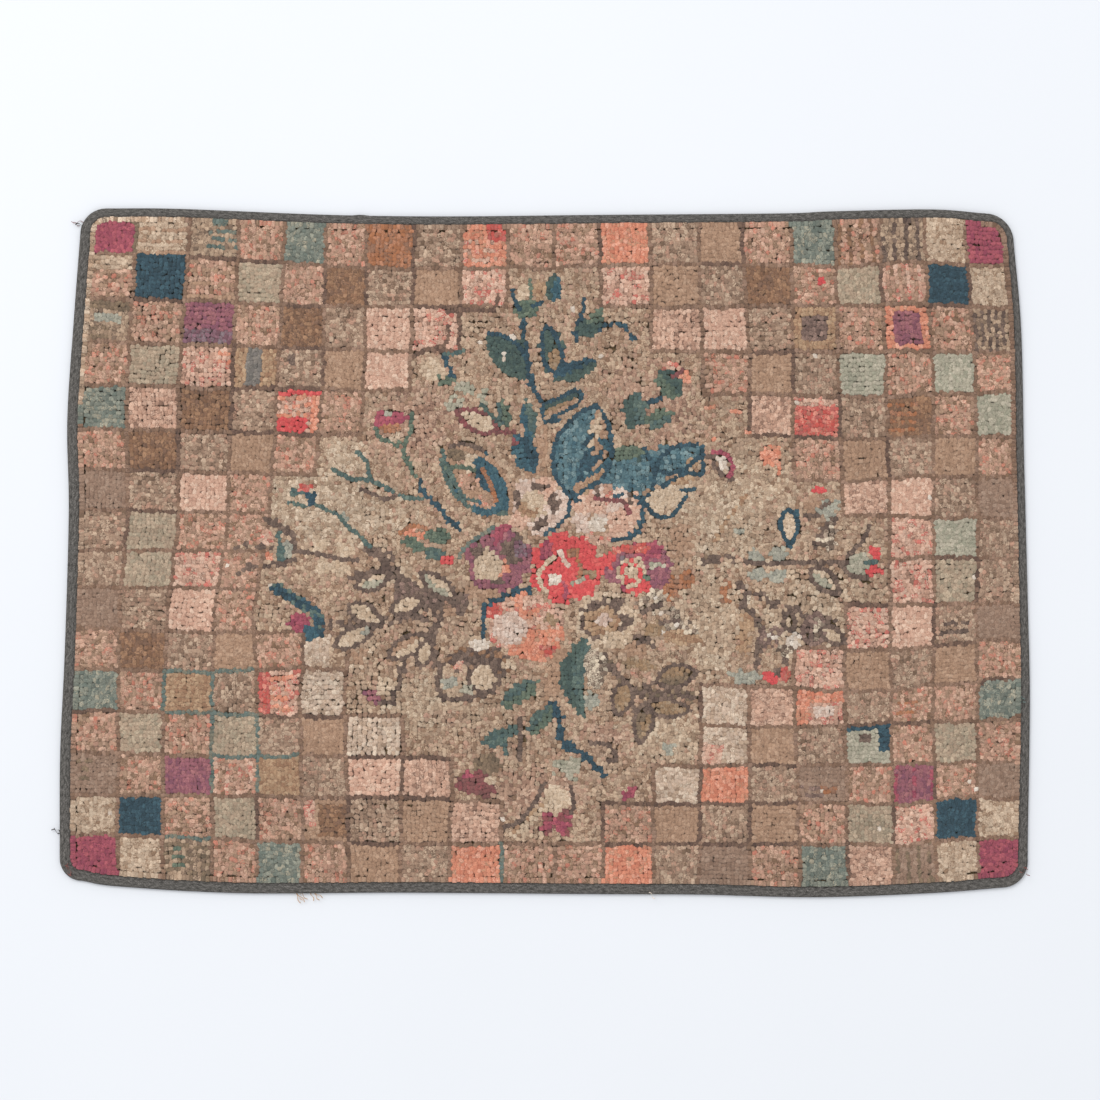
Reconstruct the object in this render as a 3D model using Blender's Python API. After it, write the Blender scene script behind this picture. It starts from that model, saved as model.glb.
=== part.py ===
"""Hooked rug: a burlap foundation, the wool loops hooked through it, and the twill tape that binds its edge.

The rug lies flat on Z = 0. Seen from above, +X runs along its length and +Y points to the head of its pattern.
Every size below is in millimetres, and at() turns a place into Blender's metres.
"""

import math

import bmesh
import bpy
from mathutils import Vector, noise

MM = 0.001

# Cotton twill tape, 32 mm wide before it was folded round the edge: the front lap, the half round and the back lap.
TAPE_THICKNESS = 1.0
TAPE_FRONT_LAP = 11.3
TAPE_BACK_LAP = 13.0
TAPE_WANDER = 0.5
EDGE_RADIUS = 2.7

# The tape's last 16 mm lie over its first, on the head edge.
JOIN_FROM = -192.5
JOIN_TO = -176.5
JOIN_STEP = 0.4

# Burlap, with its hem folded up inside the tape.
CLEARANCE = 0.3
BURLAP_THICKNESS = 1.4
HEM_WIDTH = 11.9
BURLAP_RISE = 2.4

# The pile: loops about 6 mm high, a little lower where feet have worn them.
PILE_TOP = 8.0
PILE_UNEVENNESS = 0.45
PILE_LUMP_SIZE = 85.0
PILE_ROUNDING = 2.0

# How finely the outline is cut up: about every 30 mm along an edge.
EDGE_STEPS = {"foot": 30, "right": 21, "head": 30, "left": 21}
CORNER_STEPS = 6
ROUND_STEPS = 4
SMOOTH_STEPS = 16

# Each corner is an arc: its centre from the middle of the rug, and its radius.
CORNERS = {
    "foot_right": {"centre": (460.7, -312.0), "radius": 26.2, "starts_at": 270},
    "head_right": {"centre": (443.5, 312.0), "radius": 29.2, "starts_at": 0},
    "head_left": {"centre": (-441.5, 320.0), "radius": 26.2, "starts_at": 90},
    "foot_left": {"centre": (-466.2, -309.0), "radius": 22.2, "starts_at": 180},
}

# The edges wander between the corners, and the foot is wider than the head. Each row is a place that an edge
# passes through, counterclockwise, as (along X, along Y).
EDGES = {
    "foot": [
        (-429, -337.0),
        (-306, -343.7),
        (-145, -343.2),
        (56, -344.7),
        (157, -345.2),
        (273, -347.8),
        (389, -343.7),
    ],
    "right": [(487, -286), (489, -150), (486.9, -49), (483.3, 92), (480.3, 223)],
    "head": [
        (389, 345.2),
        (288, 343.2),
        (238, 341.2),
        (56, 339.7),
        (-95, 338.2),
        (-216, 339.7),
        (-367, 345.7),
    ],
    "left": [
        (-474.3, 233.4),
        (-480.8, 132.6),
        (-479.3, 40.0),
        (-483.3, -99.0),
        (-487.9, -200.0),
        (-488.4, -290.0),
    ],
}

# The order in which edges and corners follow each other, counterclockwise.
ROUND_THE_RUG = [
    ("foot", "foot_right"),
    ("right", "head_right"),
    ("head", "head_left"),
    ("left", "foot_left"),
]


def clear_scene():
    for obj in list(bpy.data.objects):
        bpy.data.objects.remove(obj)


def cloth(name, colour, roughness):
    """A Principled material for one of the rug's cloths."""
    material = bpy.data.materials.new(name)
    material.use_nodes = True
    shader = material.node_tree.nodes["Principled BSDF"]
    shader.inputs["Base Color"].default_value = (*colour, 1.0)
    shader.inputs["Roughness"].default_value = roughness
    shader.inputs["Metallic"].default_value = 0.0
    return material


def corner_arc(corner, steps):
    """The points of one rounded corner, both ends included."""
    centre = Vector(corner["centre"])
    points = []
    for i in range(steps + 1):
        angle = math.radians(corner["starts_at"] + 90 * i / steps)
        points.append(centre + corner["radius"] * Vector((math.cos(angle), math.sin(angle))))
    return points


def smooth_between(before, start, end, after, t):
    """A point on the Catmull-Rom curve from start to end."""
    bend = 2 * before - 5 * start + 4 * end - after
    twist = 3 * start - before - 3 * end + after
    return 0.5 * (2 * start + (end - before) * t + bend * t * t + twist * t * t * t)


def wandering_edge(places, steps):
    """Points evenly along the smooth curve through these places, without its first and last place."""
    ends = [2 * places[0] - places[1], *places, 2 * places[-1] - places[-2]]
    fine = []
    for i in range(len(places) - 1):
        fine += [smooth_between(*ends[i : i + 4], t / SMOOTH_STEPS) for t in range(SMOOTH_STEPS)]
    fine.append(places[-1])
    lengths = [0.0]
    for a, b in zip(fine, fine[1:]):
        lengths.append(lengths[-1] + (b - a).length)
    points = []
    i = 0
    for step in range(1, steps):
        wanted = lengths[-1] * step / steps
        while lengths[i + 1] < wanted:
            i += 1
        share = (wanted - lengths[i]) / (lengths[i + 1] - lengths[i])
        points.append(fine[i].lerp(fine[i + 1], share))
    return points


def outline():
    """The outer edge, counterclockwise from the corner at the foot's left, centred on the rug's middle."""
    points = []
    last = CORNERS["foot_left"]
    for edge, corner in ROUND_THE_RUG:
        start = corner_arc(last, CORNER_STEPS)[-1]
        arc = corner_arc(CORNERS[corner], CORNER_STEPS)
        places = [start, *map(Vector, EDGES[edge]), arc[0]]
        points += wandering_edge(places, EDGE_STEPS[edge]) + arc
        last = CORNERS[corner]
    low = Vector((min(p.x for p in points), min(p.y for p in points)))
    high = Vector((max(p.x for p in points), max(p.y for p in points)))
    return [p - (low + high) / 2 for p in points]


def with_join(points):
    """The outline with a pair of points at each end of the tape's join, so that its thickness steps there."""
    marks = []
    for x in (JOIN_TO, JOIN_FROM):
        marks += [x + JOIN_STEP / 2, x - JOIN_STEP / 2]
    made = []
    for i, point in enumerate(points):
        made.append(point)
        after = points[(i + 1) % len(points)]
        if point.y > 0 and after.y > 0:
            for x in marks:
                if after.x < x < point.x:
                    made.append(point.lerp(after, (point.x - x) / (point.x - after.x)))
    return made


def outward(points, i):
    """The direction square to the outline at its point i, away from the rug."""
    along = (points[(i + 1) % len(points)] - points[i - 1]).normalized()
    return Vector((along.y, -along.x))


def at(points, i, inset, height):
    """A place in metres, inset from the outline at its point i and at a height above the floor."""
    flat = points[i] - outward(points, i) * inset
    return Vector((flat.x * MM, flat.y * MM, height * MM))


def half_round(radius, clockwise=False):
    """(inset, height) round the rug's edge, from its underside to its face, or back if clockwise."""
    made = []
    for i in range(ROUND_STEPS + 1):
        angle = math.pi * i / ROUND_STEPS
        inset = EDGE_RADIUS - radius * math.sin(angle)
        made.append((inset, EDGE_RADIUS - radius * math.cos(angle)))
    return made[::-1] if clockwise else made


def start_ring(bm, count, place):
    """A closed ring of edges, with each vertex's place in the outline kept in a layer."""
    station = bm.verts.layers.int.get("station") or bm.verts.layers.int.new("station")
    ring = []
    for i in range(count):
        vert = bm.verts.new(place(i))
        vert[station] = i
        ring.append(vert)
    return [bm.edges.new((ring[i - 1], ring[i])) for i in range(count)]


def next_ring(bm, edges, place):
    """Extrudes a ring of edges to its next places and returns the new ring."""
    station = bm.verts.layers.int["station"]
    made = bmesh.ops.extrude_edge_only(bm, edges=edges)["geom"]
    new_verts = {v for v in made if isinstance(v, bmesh.types.BMVert)}
    for vert in new_verts:
        vert.co = place(vert[station])
    found = {e for v in new_verts for e in v.link_edges}
    return [e for e in found if set(e.verts) <= new_verts]


def rug_object(name, bm, material):
    """The finished piece, its faces pointing out."""
    bmesh.ops.remove_doubles(bm, verts=bm.verts, dist=1e-6)
    bmesh.ops.recalc_face_normals(bm, faces=bm.faces)
    mesh = bpy.data.meshes.new(name)
    bm.to_mesh(mesh)
    bm.free()
    mesh.materials.append(material)
    obj = bpy.data.objects.new(name, mesh)
    bpy.context.scene.collection.objects.link(obj)
    mesh.shade_smooth()
    mesh.set_sharp_from_angle(angle=math.radians(40))
    return obj


def burlap_section():
    """(inset, height) of the foundation, from its underside, round the folded hem, to its face."""
    lap_end = TAPE_BACK_LAP + CLEARANCE
    hem_foot = TAPE_THICKNESS + CLEARANCE
    round_hem = half_round(EDGE_RADIUS - TAPE_THICKNESS - CLEARANCE)
    hem_top = 2 * EDGE_RADIUS - TAPE_THICKNESS - CLEARANCE
    return [
        (lap_end + BURLAP_RISE, 0.0),
        (lap_end, hem_foot),
        *round_hem,
        (HEM_WIDTH, hem_top),
        (HEM_WIDTH, hem_foot + BURLAP_THICKNESS),
        (lap_end, hem_foot + BURLAP_THICKNESS),
        (lap_end + BURLAP_RISE, BURLAP_THICKNESS),
    ]


def foundation(points, material):
    """The burlap: a flat sheet whose rim is lifted onto the tape's back lap and folded double."""
    bm = bmesh.new()
    section = burlap_section()
    count = len(points)
    ring = start_ring(bm, count, lambda i: at(points, i, *section[0]))
    bmesh.ops.edgeloop_fill(bm, edges=ring)
    for inset, height in section[1:]:
        ring = next_ring(bm, ring, lambda i, d=inset, z=height: at(points, i, d, z))
    bmesh.ops.edgeloop_fill(bm, edges=ring)
    return rug_object("burlap_foundation", bm, material)


def pile_height(place):
    """The height of the loops over a place given in metres."""
    lump = noise.noise(Vector((place.x, place.y, 0.0)) / (PILE_LUMP_SIZE * MM))
    return (PILE_TOP + PILE_UNEVENNESS * lump) * MM


def opposite_rails(bm, ring, count):
    """The edges of a ring that lie along the foot and along the head, from mid corner to mid corner."""
    station = bm.verts.layers.int["station"]
    along_x = EDGE_STEPS["foot"] + CORNER_STEPS
    along_y = EDGE_STEPS["right"] + CORNER_STEPS
    rails = []
    for edge in ring:
        first, second = sorted(v[station] for v in edge.verts)
        start = first if second - first == 1 else second
        # The outline's point 0 lies one step past the left end of the foot.
        side = (start + 1 + CORNER_STEPS // 2) % count
        if side < along_x or along_x + along_y <= side < 2 * along_x + along_y:
            rails.append(edge)
    return rails


def pile(points, material):
    """The hooked loops as one mat that stands on the burlap, with a rounded rim and a slightly uneven face."""
    bm = bmesh.new()
    wall = HEM_WIDTH + CLEARANCE
    base = BURLAP_THICKNESS + CLEARANCE
    lap_end = TAPE_BACK_LAP + CLEARANCE
    rim_foot = base + TAPE_THICKNESS + CLEARANCE
    count = len(points)
    ring = start_ring(bm, count, lambda i: at(points, i, lap_end + BURLAP_RISE, base))
    bmesh.ops.edgeloop_fill(bm, edges=ring)
    for inset in (lap_end, wall):
        ring = next_ring(bm, ring, lambda i, d=inset: at(points, i, d, rim_foot))
    for step in range(3):
        turn = math.radians(45 * step)
        inset = wall + PILE_ROUNDING * (1 - math.cos(turn))
        drop = PILE_ROUNDING * (1 - math.sin(turn))

        def rim(i, d=inset, down=drop):
            place = at(points, i, d, 0.0)
            place.z = pile_height(place) - down * MM
            return place

        ring = next_ring(bm, ring, rim)
    rails = opposite_rails(bm, ring, count)
    rim_verts = set(bm.verts)
    bmesh.ops.grid_fill(bm, edges=rails, use_interp_simple=True)
    for vert in set(bm.verts) - rim_verts:
        vert.co.z = pile_height(vert.co)
    return rug_object("hooked_pile", bm, material)


def tape_section(point, along):
    """(inset, height) round the tape's cross section: its outer side, then back along its inner side."""
    joined = point.y > 0 and JOIN_FROM < point.x < JOIN_TO
    extra = TAPE_THICKNESS - 0.1 if joined else 0.0
    front = TAPE_FRONT_LAP + TAPE_WANDER * noise.noise(Vector((along / 60.0, 7.0, 0.0)))
    outer = []
    for inset, height in half_round(EDGE_RADIUS):
        lift = height / (2 * EDGE_RADIUS)
        outer.append((inset - extra * math.sin(math.pi * lift / 2), height + extra * lift * lift))
    face = 2 * EDGE_RADIUS
    return [
        (TAPE_BACK_LAP, 0.0),
        *outer,
        (front, face + extra),
        (front, face - TAPE_THICKNESS),
        *half_round(EDGE_RADIUS - TAPE_THICKNESS, clockwise=True),
        (TAPE_BACK_LAP, TAPE_THICKNESS),
    ]


def binding(points, material):
    """The twill tape, folded over the rug's edge and eased round its corners, with its ends lapped."""
    bm = bmesh.new()
    count = len(points)
    along = [0.0]
    for i in range(1, count):
        along.append(along[-1] + (points[i] - points[i - 1]).length)
    sections = [tape_section(points[i], along[i]) for i in range(count)]
    steps = len(sections[0])
    ring = start_ring(bm, count, lambda i: at(points, i, *sections[i][0]))
    for k in range(1, steps + 1):
        ring = next_ring(bm, ring, lambda i, k=k: at(points, i, *sections[i][k % steps]))
    return rug_object("binding_tape", bm, material)


def main():
    clear_scene()
    points = outline()
    foundation(points, cloth("burlap", (0.34, 0.25, 0.15), 0.95))
    pile(points, cloth("wool_pile", (0.32, 0.22, 0.15), 0.95))
    binding(with_join(points), cloth("cotton_twill", (0.10, 0.095, 0.085), 0.85))


main()
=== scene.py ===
"""The looks of the hooked rug: wool loops hooked one by one, twill tape round the edge, burlap underneath.

Places on the rug's pattern are written as (across, up) in steps of STEP millimetres from the middle of the
pattern, and everything else in millimetres. The rug lies on Z = 0, and +Y points to the head of its pattern.
"""

import math
import random

import bmesh
import bpy
from mathutils import Matrix, Vector, kdtree, noise


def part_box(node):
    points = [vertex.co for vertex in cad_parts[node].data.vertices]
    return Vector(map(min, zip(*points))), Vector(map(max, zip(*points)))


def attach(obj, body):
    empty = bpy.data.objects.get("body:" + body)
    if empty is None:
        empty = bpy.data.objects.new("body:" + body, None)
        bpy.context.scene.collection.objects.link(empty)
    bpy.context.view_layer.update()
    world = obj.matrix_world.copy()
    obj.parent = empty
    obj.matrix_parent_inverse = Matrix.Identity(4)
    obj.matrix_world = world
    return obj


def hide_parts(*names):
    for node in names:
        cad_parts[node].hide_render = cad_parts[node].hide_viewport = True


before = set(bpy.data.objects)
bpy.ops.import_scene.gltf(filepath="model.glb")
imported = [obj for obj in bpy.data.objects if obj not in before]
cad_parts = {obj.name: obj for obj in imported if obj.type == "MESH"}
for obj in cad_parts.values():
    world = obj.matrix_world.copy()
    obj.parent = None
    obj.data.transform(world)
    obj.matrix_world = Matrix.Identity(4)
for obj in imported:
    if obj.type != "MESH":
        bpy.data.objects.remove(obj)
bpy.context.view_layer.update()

MM = 0.001
STEP = 1.008
RANDOM = random.Random(41)

# The twill tape, as it is folded round the edge. Its front lap leans narrower towards the head and the right,
# and its ends lap between JOIN_FROM and JOIN_TO at the head.
TAPE_THICKNESS = 1.0
TAPE_FRONT_LAP = 9.9
TAPE_LEAN = (1.2, 1.15)
TAPE_SKEW = 1.4
TAPE_SKEW_REACH = 300
TAPE_BACK_LAP = 13.0
EDGE_RADIUS = 2.7
JOIN_FROM = -192.5
JOIN_TO = -176.5
# By how much, and over what length, the tape's front edge wanders and frays, and its face swells.
TAPE_WANDER = (0.5, 60.0)
TAPE_FRAY = (0.35, 6.0)
TAPE_SWELL = (0.28, 17.0)
STITCH_SPACING = 7.5

# The pile: where its wall stands, how high its loops are, and how its height changes over the rug.
TAPE_TO_PILE = 0.9
PILE_TOP = 8.0
PILE_UNEVENNESS = 0.45
PILE_LUMP_SIZE = 85.0
LOOP_FOOT = 1.9
LOOP_HEIGHT = PILE_TOP - LOOP_FOOT

# One loop: a strip of wool pulled up into an arch, wider than its pitch, so that it presses on the next.
LOOP_LENGTH = 5.8
LOOP_WIDTH = 5.6
LOOP_CURL = 0.8
LOOP_PITCH = 3.95
LOOP_JITTER = 0.6
LOOP_HEIGHT_JITTER = 0.35
LOOP_SWAY = 0.8
LOOP_TILT = 11
SETTLING_ROUNDS = 8
SETTLED_GAP = 4.2
SETTLING_PUSH = 0.3
WHITE_FLECKS = 0.0005
# How the rows of loops stray: over what size, by how much, and a seed. The ground's rows stray once more.
ROW_STRAYS = [(26.0, 2.2, 3.0), (8.0, 1.8, 12.0)]
GROUND_STRAY = (17.0, 2.7, 8.0)

# The blocks: 20 columns and 16 rows, each 12 loops wide and 10 loops high, one row of loops for the line.
COLUMNS = 20
ROWS = 16
LOOPS_ACROSS = 12
LOOPS_DOWN = 10
COURSES = 16
# Loops further from the middle than this are tested against the rim.
SAFE_REACH = (440, 300)
# The rim's row is pale left of and above the first place, and brown right of and above the second.
PALE_RIM_TO = (-370, 150)
BROWN_RIM_FROM = (440, 60)
# The share of a stripe's loops that get its wool, in level stripes and in upright ones.
STRIPE_SHARE = 0.75
UPRIGHT_SHARE = 0.8
# A piece's copies share its bake as a square of this many cells across.
CELLS_ACROSS = 54

# The view: how much of the floor it takes in, the lens, and the place under its middle.
FRAME_WIDTH = 1106.4
LENS = 100.0
SENSOR = 36.0
VIEW_MIDDLE = (5.3, 2.8)

# The rug's outer edge, as in its construction: corner arcs, and places that the edges pass through.
CORNERS = {
    "foot_right": {"centre": (460.7, -312.0), "radius": 26.2, "starts_at": 270},
    "head_right": {"centre": (443.5, 312.0), "radius": 29.2, "starts_at": 0},
    "head_left": {"centre": (-441.5, 320.0), "radius": 26.2, "starts_at": 90},
    "foot_left": {"centre": (-466.2, -309.0), "radius": 22.2, "starts_at": 180},
}
EDGES = {
    "foot": [
        (-429, -337.0),
        (-306, -343.7),
        (-145, -343.2),
        (56, -344.7),
        (157, -345.2),
        (273, -347.8),
        (389, -343.7),
    ],
    "right": [(487, -286), (489, -150), (486.9, -49), (483.3, 92), (480.3, 223)],
    "head": [
        (389, 345.2),
        (288, 343.2),
        (238, 341.2),
        (56, 339.7),
        (-95, 338.2),
        (-216, 339.7),
        (-367, 345.7),
    ],
    "left": [
        (-474.3, 233.4),
        (-480.8, 132.6),
        (-479.3, 40.0),
        (-483.3, -99.0),
        (-487.9, -200.0),
        (-488.4, -290.0),
    ],
}
ROUND_THE_RUG = [
    ("foot", "foot_right"),
    ("right", "head_right"),
    ("head", "head_left"),
    ("left", "foot_left"),
]
EDGE_STEPS = {"foot": 150, "right": 104, "head": 150, "left": 104}
CORNER_STEPS = 10
SMOOTH_STEPS = 24

# Lines between the columns, in steps across: one row for each height, one column for each of the 19 lines.
# None is where the ground of the flowers interrupts a line.
N = None
COLUMN_LINES = {
    311: [-408, -355, -305, -260, -218, -178, -130, -83, -36, 9, 55, 106, 154, 197, 246, 290, 334, 379, 419],
    186: [-417, -365, -311, -266, -221, -180, -134, N, N, N, N, N, 158, 205, 248, 293, 341, 388, 430],
    26: [-417, -366, -317, -276, N, N, N, N, N, N, N, N, N, N, N, N, 344, 388, 433],
    -54: [-425, -376, -328, -292, N, N, N, N, N, N, N, N, N, N, N, 301, 345, 389, 431],
    -139: [-425, -381, -332, -287, -244, -200, N, N, N, N, N, N, 156, 204, 249, 300, 346, 387, 432],
    -309: [-426, -382, -332, -287, -242, -196, -144, -95, -44, 10, 58, 109, 154, 205, 255, 302, 349, 391, 432],
}
# Lines between the rows, in steps up: one row for each place across, one column for each of the 15 lines.
ROW_LINES = {
    -434: [299, 253, 211, 168, 123, 84, 43, 2, -34, -76, -116, -158, -199, -242, -281],
    -339: [295, 252, 207, 165, 121, 80, 40, 2, -35, -80, -119, -160, -204, -242, -285],
    -244: [288, 246, 205, 165, 118, 78, N, N, N, -79, -114, -165, -203, -244, -289],
    -154: [283, 246, 201, 162, N, N, N, N, N, N, N, -162, -204, -244, -291],
    -14: [284, 246, N, N, N, N, N, N, N, N, N, N, N, -249, -291],
    131: [289, 245, 201, N, N, N, N, N, N, N, N, N, -213, -251, -291],
    221: [287, 247, 200, 158, 117, N, N, N, N, N, -134, -174, -212, -250, -291],
    314: [285, 247, 201, 155, 113, 71, 38, -5, -52, -97, -139, -171, -212, -250, -291],
    364: [291, 249, 201, 157, 115, 76, 36, -5, -52, -96, -136, -169, -211, -252, -292],
    410: [288, 247, 200, 159, 116, 76, 35, -5, -51, -91, -131, -168, -210, -243, -286],
    451: [285, 245, 200, 161, 116, 75, 34, -5, -51, -86, -126, -166, -209, -245, -284],
}

# The blocks' wools. One quarter of the rug is charted, and its mirror images fill the others.
BLOCK_WOOLS = {
    "K": "crimson",
    "b": "beige",
    "d": "dark stripe",
    "p": "pink tweed",
    "t": "teal",
    "r": "rust",
    "g": "grey tweed",
    "c": "coral",
    "n": "navy",
    "s": "sage",
    "w": "brown",
    "a": "tan",
    "e": "dun",
    "l": "light pink",
    "m": "plum",
    "o": "ochre",
    "h": "cream tweed",
    "q": "salmon",
    "f": "peach",
    "x": "scarlet tweed",
    "y": "pale sage",
}
QUARTER = [
    "Kbdptprgcp",
    "bnpspwgap.",
    "dpmpwglp..",
    "pspogal...",
    "tpwgcp....",
    "pwgap.....",
    "eglp......",
    "gspp......",
]
# Blocks that differ from the chart: row, column, wool.
ODD_BLOCKS = [
    (1, 14, "a"), (2, 9, "q"), (2, 12, "q"), (3, 8, "q"), (3, 13, "f"), (3, 16, "o"), (4, 3, "q"),
    (4, 14, "p"), (4, 15, "a"), (4, 17, "y"), (4, 19, "y"), (5, 2, "f"), (5, 5, "q"), (5, 15, "f"),
    (5, 16, "x"), (5, 18, "w"), (5, 20, "y"), (6, 17, "a"), (6, 18, "g"), (6, 19, "a"), (7, 17, "f"),
    (8, 18, "q"), (8, 19, "y"), (9, 1, "g"), (9, 3, "q"), (9, 18, "q"), (10, 17, "q"), (10, 18, "l"),
    (10, 19, "g"), (11, 6, "h"), (11, 16, "q"), (11, 17, "a"), (11, 19, "a"), (12, 3, "o"),
    (12, 5, "q"), (12, 6, "h"), (12, 14, "h"), (12, 15, "f"), (12, 16, "q"), (12, 18, "p"),
    (13, 4, "s"), (13, 7, "h"), (13, 14, "h"), (13, 15, "a"), (13, 17, "y"), (14, 1, "e"), (14, 5, "o"),
    (14, 7, "l"), (14, 8, "f"), (14, 13, "h"), (14, 14, "c"), (14, 16, "e"), (14, 20, "e"),
    (15, 6, "a"), (15, 9, "f"), (15, 15, "a"), (15, 18, "q"), (16, 7, "a"), (16, 14, "e"),
    (16, 17, "f"), (16, 18, "e"),
]
# The flowers' ground in each row, from its first to its last column.
GROUND_SPANS = {
    2: (10, 11), 3: (9, 12), 4: (8, 13), 5: (7, 14), 6: (6, 15), 7: (5, 16), 8: (5, 17),
    9: (5, 17), 10: (5, 16), 11: (7, 15), 12: (7, 13), 13: (8, 13), 14: (9, 12), 15: (10, 11),
}
# Parts of a block in another wool: row, column, wool, and the loops that it covers, first and last across,
# first and last down, and how many rows apart its stripes lie (1 fills the whole part).
BLOCK_PARTS = [
    (1, 2, "tan", (1, 11), (3, 9), 3),
    (1, 3, "teal line", (5, 11), (1, 7), 2),
    (1, 9, "salmon", (1, 9), (4, 9), 2),
    (1, 9, "scarlet tweed", (7, 11), (1, 3), 1),
    (2, 1, "pink tweed", (1, 11), (4, 9), 1),
    (2, 3, "tan", (1, 11), (3, 9), 3),
    (2, 16, "scarlet", (8, 9), (3, 4), 1),
    (3, 1, "moss", (2, 11), (1, 2), 1),
    (3, 1, "grey teal", (3, 9), (4, 5), 1),
    (3, 1, "moss", (2, 6), (7, 9), 2),
    (3, 3, "dusk plum", (1, 11), (7, 9), 1),
    (3, 16, "mauve", (3, 9), (3, 7), 1),
    (3, 18, "coral", (1, 11), (1, 1), 1),
    (3, 18, "coral", (1, 11), (9, 9), 1),
    (3, 18, "coral", (1, 2), (1, 9), 1),
    (3, 18, "coral", (10, 11), (1, 9), 1),
    (4, 3, "coral", (9, 11), (2, 5), 2),
    (4, 4, "slate", (4, 7), (1, 9), 1),
    (4, 5, "bark", (3, 4), (2, 4), 1),
    (5, 5, "coral", (1, 11), (2, 6), 2),
    (5, 5, "coral", (10, 11), (2, 9), 1),
    (5, 5, "scarlet", (1, 11), (1, 1), 1),
    (5, 5, "scarlet", (1, 8), (7, 9), 1),
    (5, 16, "salmon", (1, 11), (1, 2), 1),
    (5, 18, "rust", (1, 7), (2, 8), 2),
    (10, 19, "bark", (2, 9), (5, 8), 2),
    (11, 6, "ground", (8, 11), (1, 9), 1),
    (12, 5, "scarlet tweed", (1, 3), (1, 9), 1),
    (12, 5, "coral", (4, 9), (2, 9), 2),
    (12, 16, "coral", (1, 11), (1, 3), 1),
    (12, 16, "coral", (1, 3), (4, 9), 1),
    (12, 16, "pale rose", (5, 9), (5, 7), 1),
    (12, 18, "rust", (1, 8), (4, 9), 3),
    (15, 6, "salmon", (1, 3), (1, 6), 1),
    (15, 6, "brown", (5, 11), (2, 8), 1),
    (13, 17, "navy", (1, 11), (1, 1), 1),
    (13, 17, "navy", (9, 11), (1, 6), 1),
    (13, 17, "bark", (4, 6), (3, 4), 1),
    (13, 14, "salmon", (1, 5), (5, 9), 1),
    (14, 1, "moss", (2, 5), (2, 7), 2),
    (14, 16, "mauve", (1, 6), (6, 8), 2),
    (14, 16, "rust", (6, 9), (6, 7), 1),
    (16, 3, "moss", (1, 11), (2, 9), 2),
    (16, 3, "green", (3, 5), (3, 7), 2),
]
# Blocks with upright stripes: row, column, wool of the stripes, how far apart they lie.
UPRIGHT_STRIPES = [
    (1, 17, "brown", 3), (1, 18, "bark", 3), (2, 18, "salmon", 3), (3, 20, "bark", 2),
    (14, 4, "salmon", 3), (16, 18, "moss", 3), (14, 18, "crimson", 5),
]
# Stretches of line in another wool: which way it runs, its number, its first and last block, wool.
LINE_TINTS = [
    ("across", 3, (8, 8), "dark line"), ("down", 8, (3, 3), "dark line"),
    ("across", 6, (2, 2), "dark line"), ("across", 13, (7, 8), "dark line"),
    ("across", 14, (7, 8), "dark line"), ("across", 14, (13, 15), "dark line"),
    ("down", 13, (14, 15), "dark line"), ("across", 4, (4, 5), "dark line"),
    ("across", 15, (13, 15), "dark line"), ("across", 11, (3, 4), "teal line"),
    ("down", 2, (12, 12), "teal line"), ("down", 3, (12, 14), "teal line"),
    ("across", 13, (4, 5), "teal line"), ("down", 4, (13, 14), "teal line"),
    ("across", 15, (3, 3), "teal line"), ("down", 9, (16, 16), "teal line"),
    ("down", 1, (1, 1), "moss"), ("across", 12, (3, 4), "teal line"),
    ("across", 1, (2, 2), "navy"),
]

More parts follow.
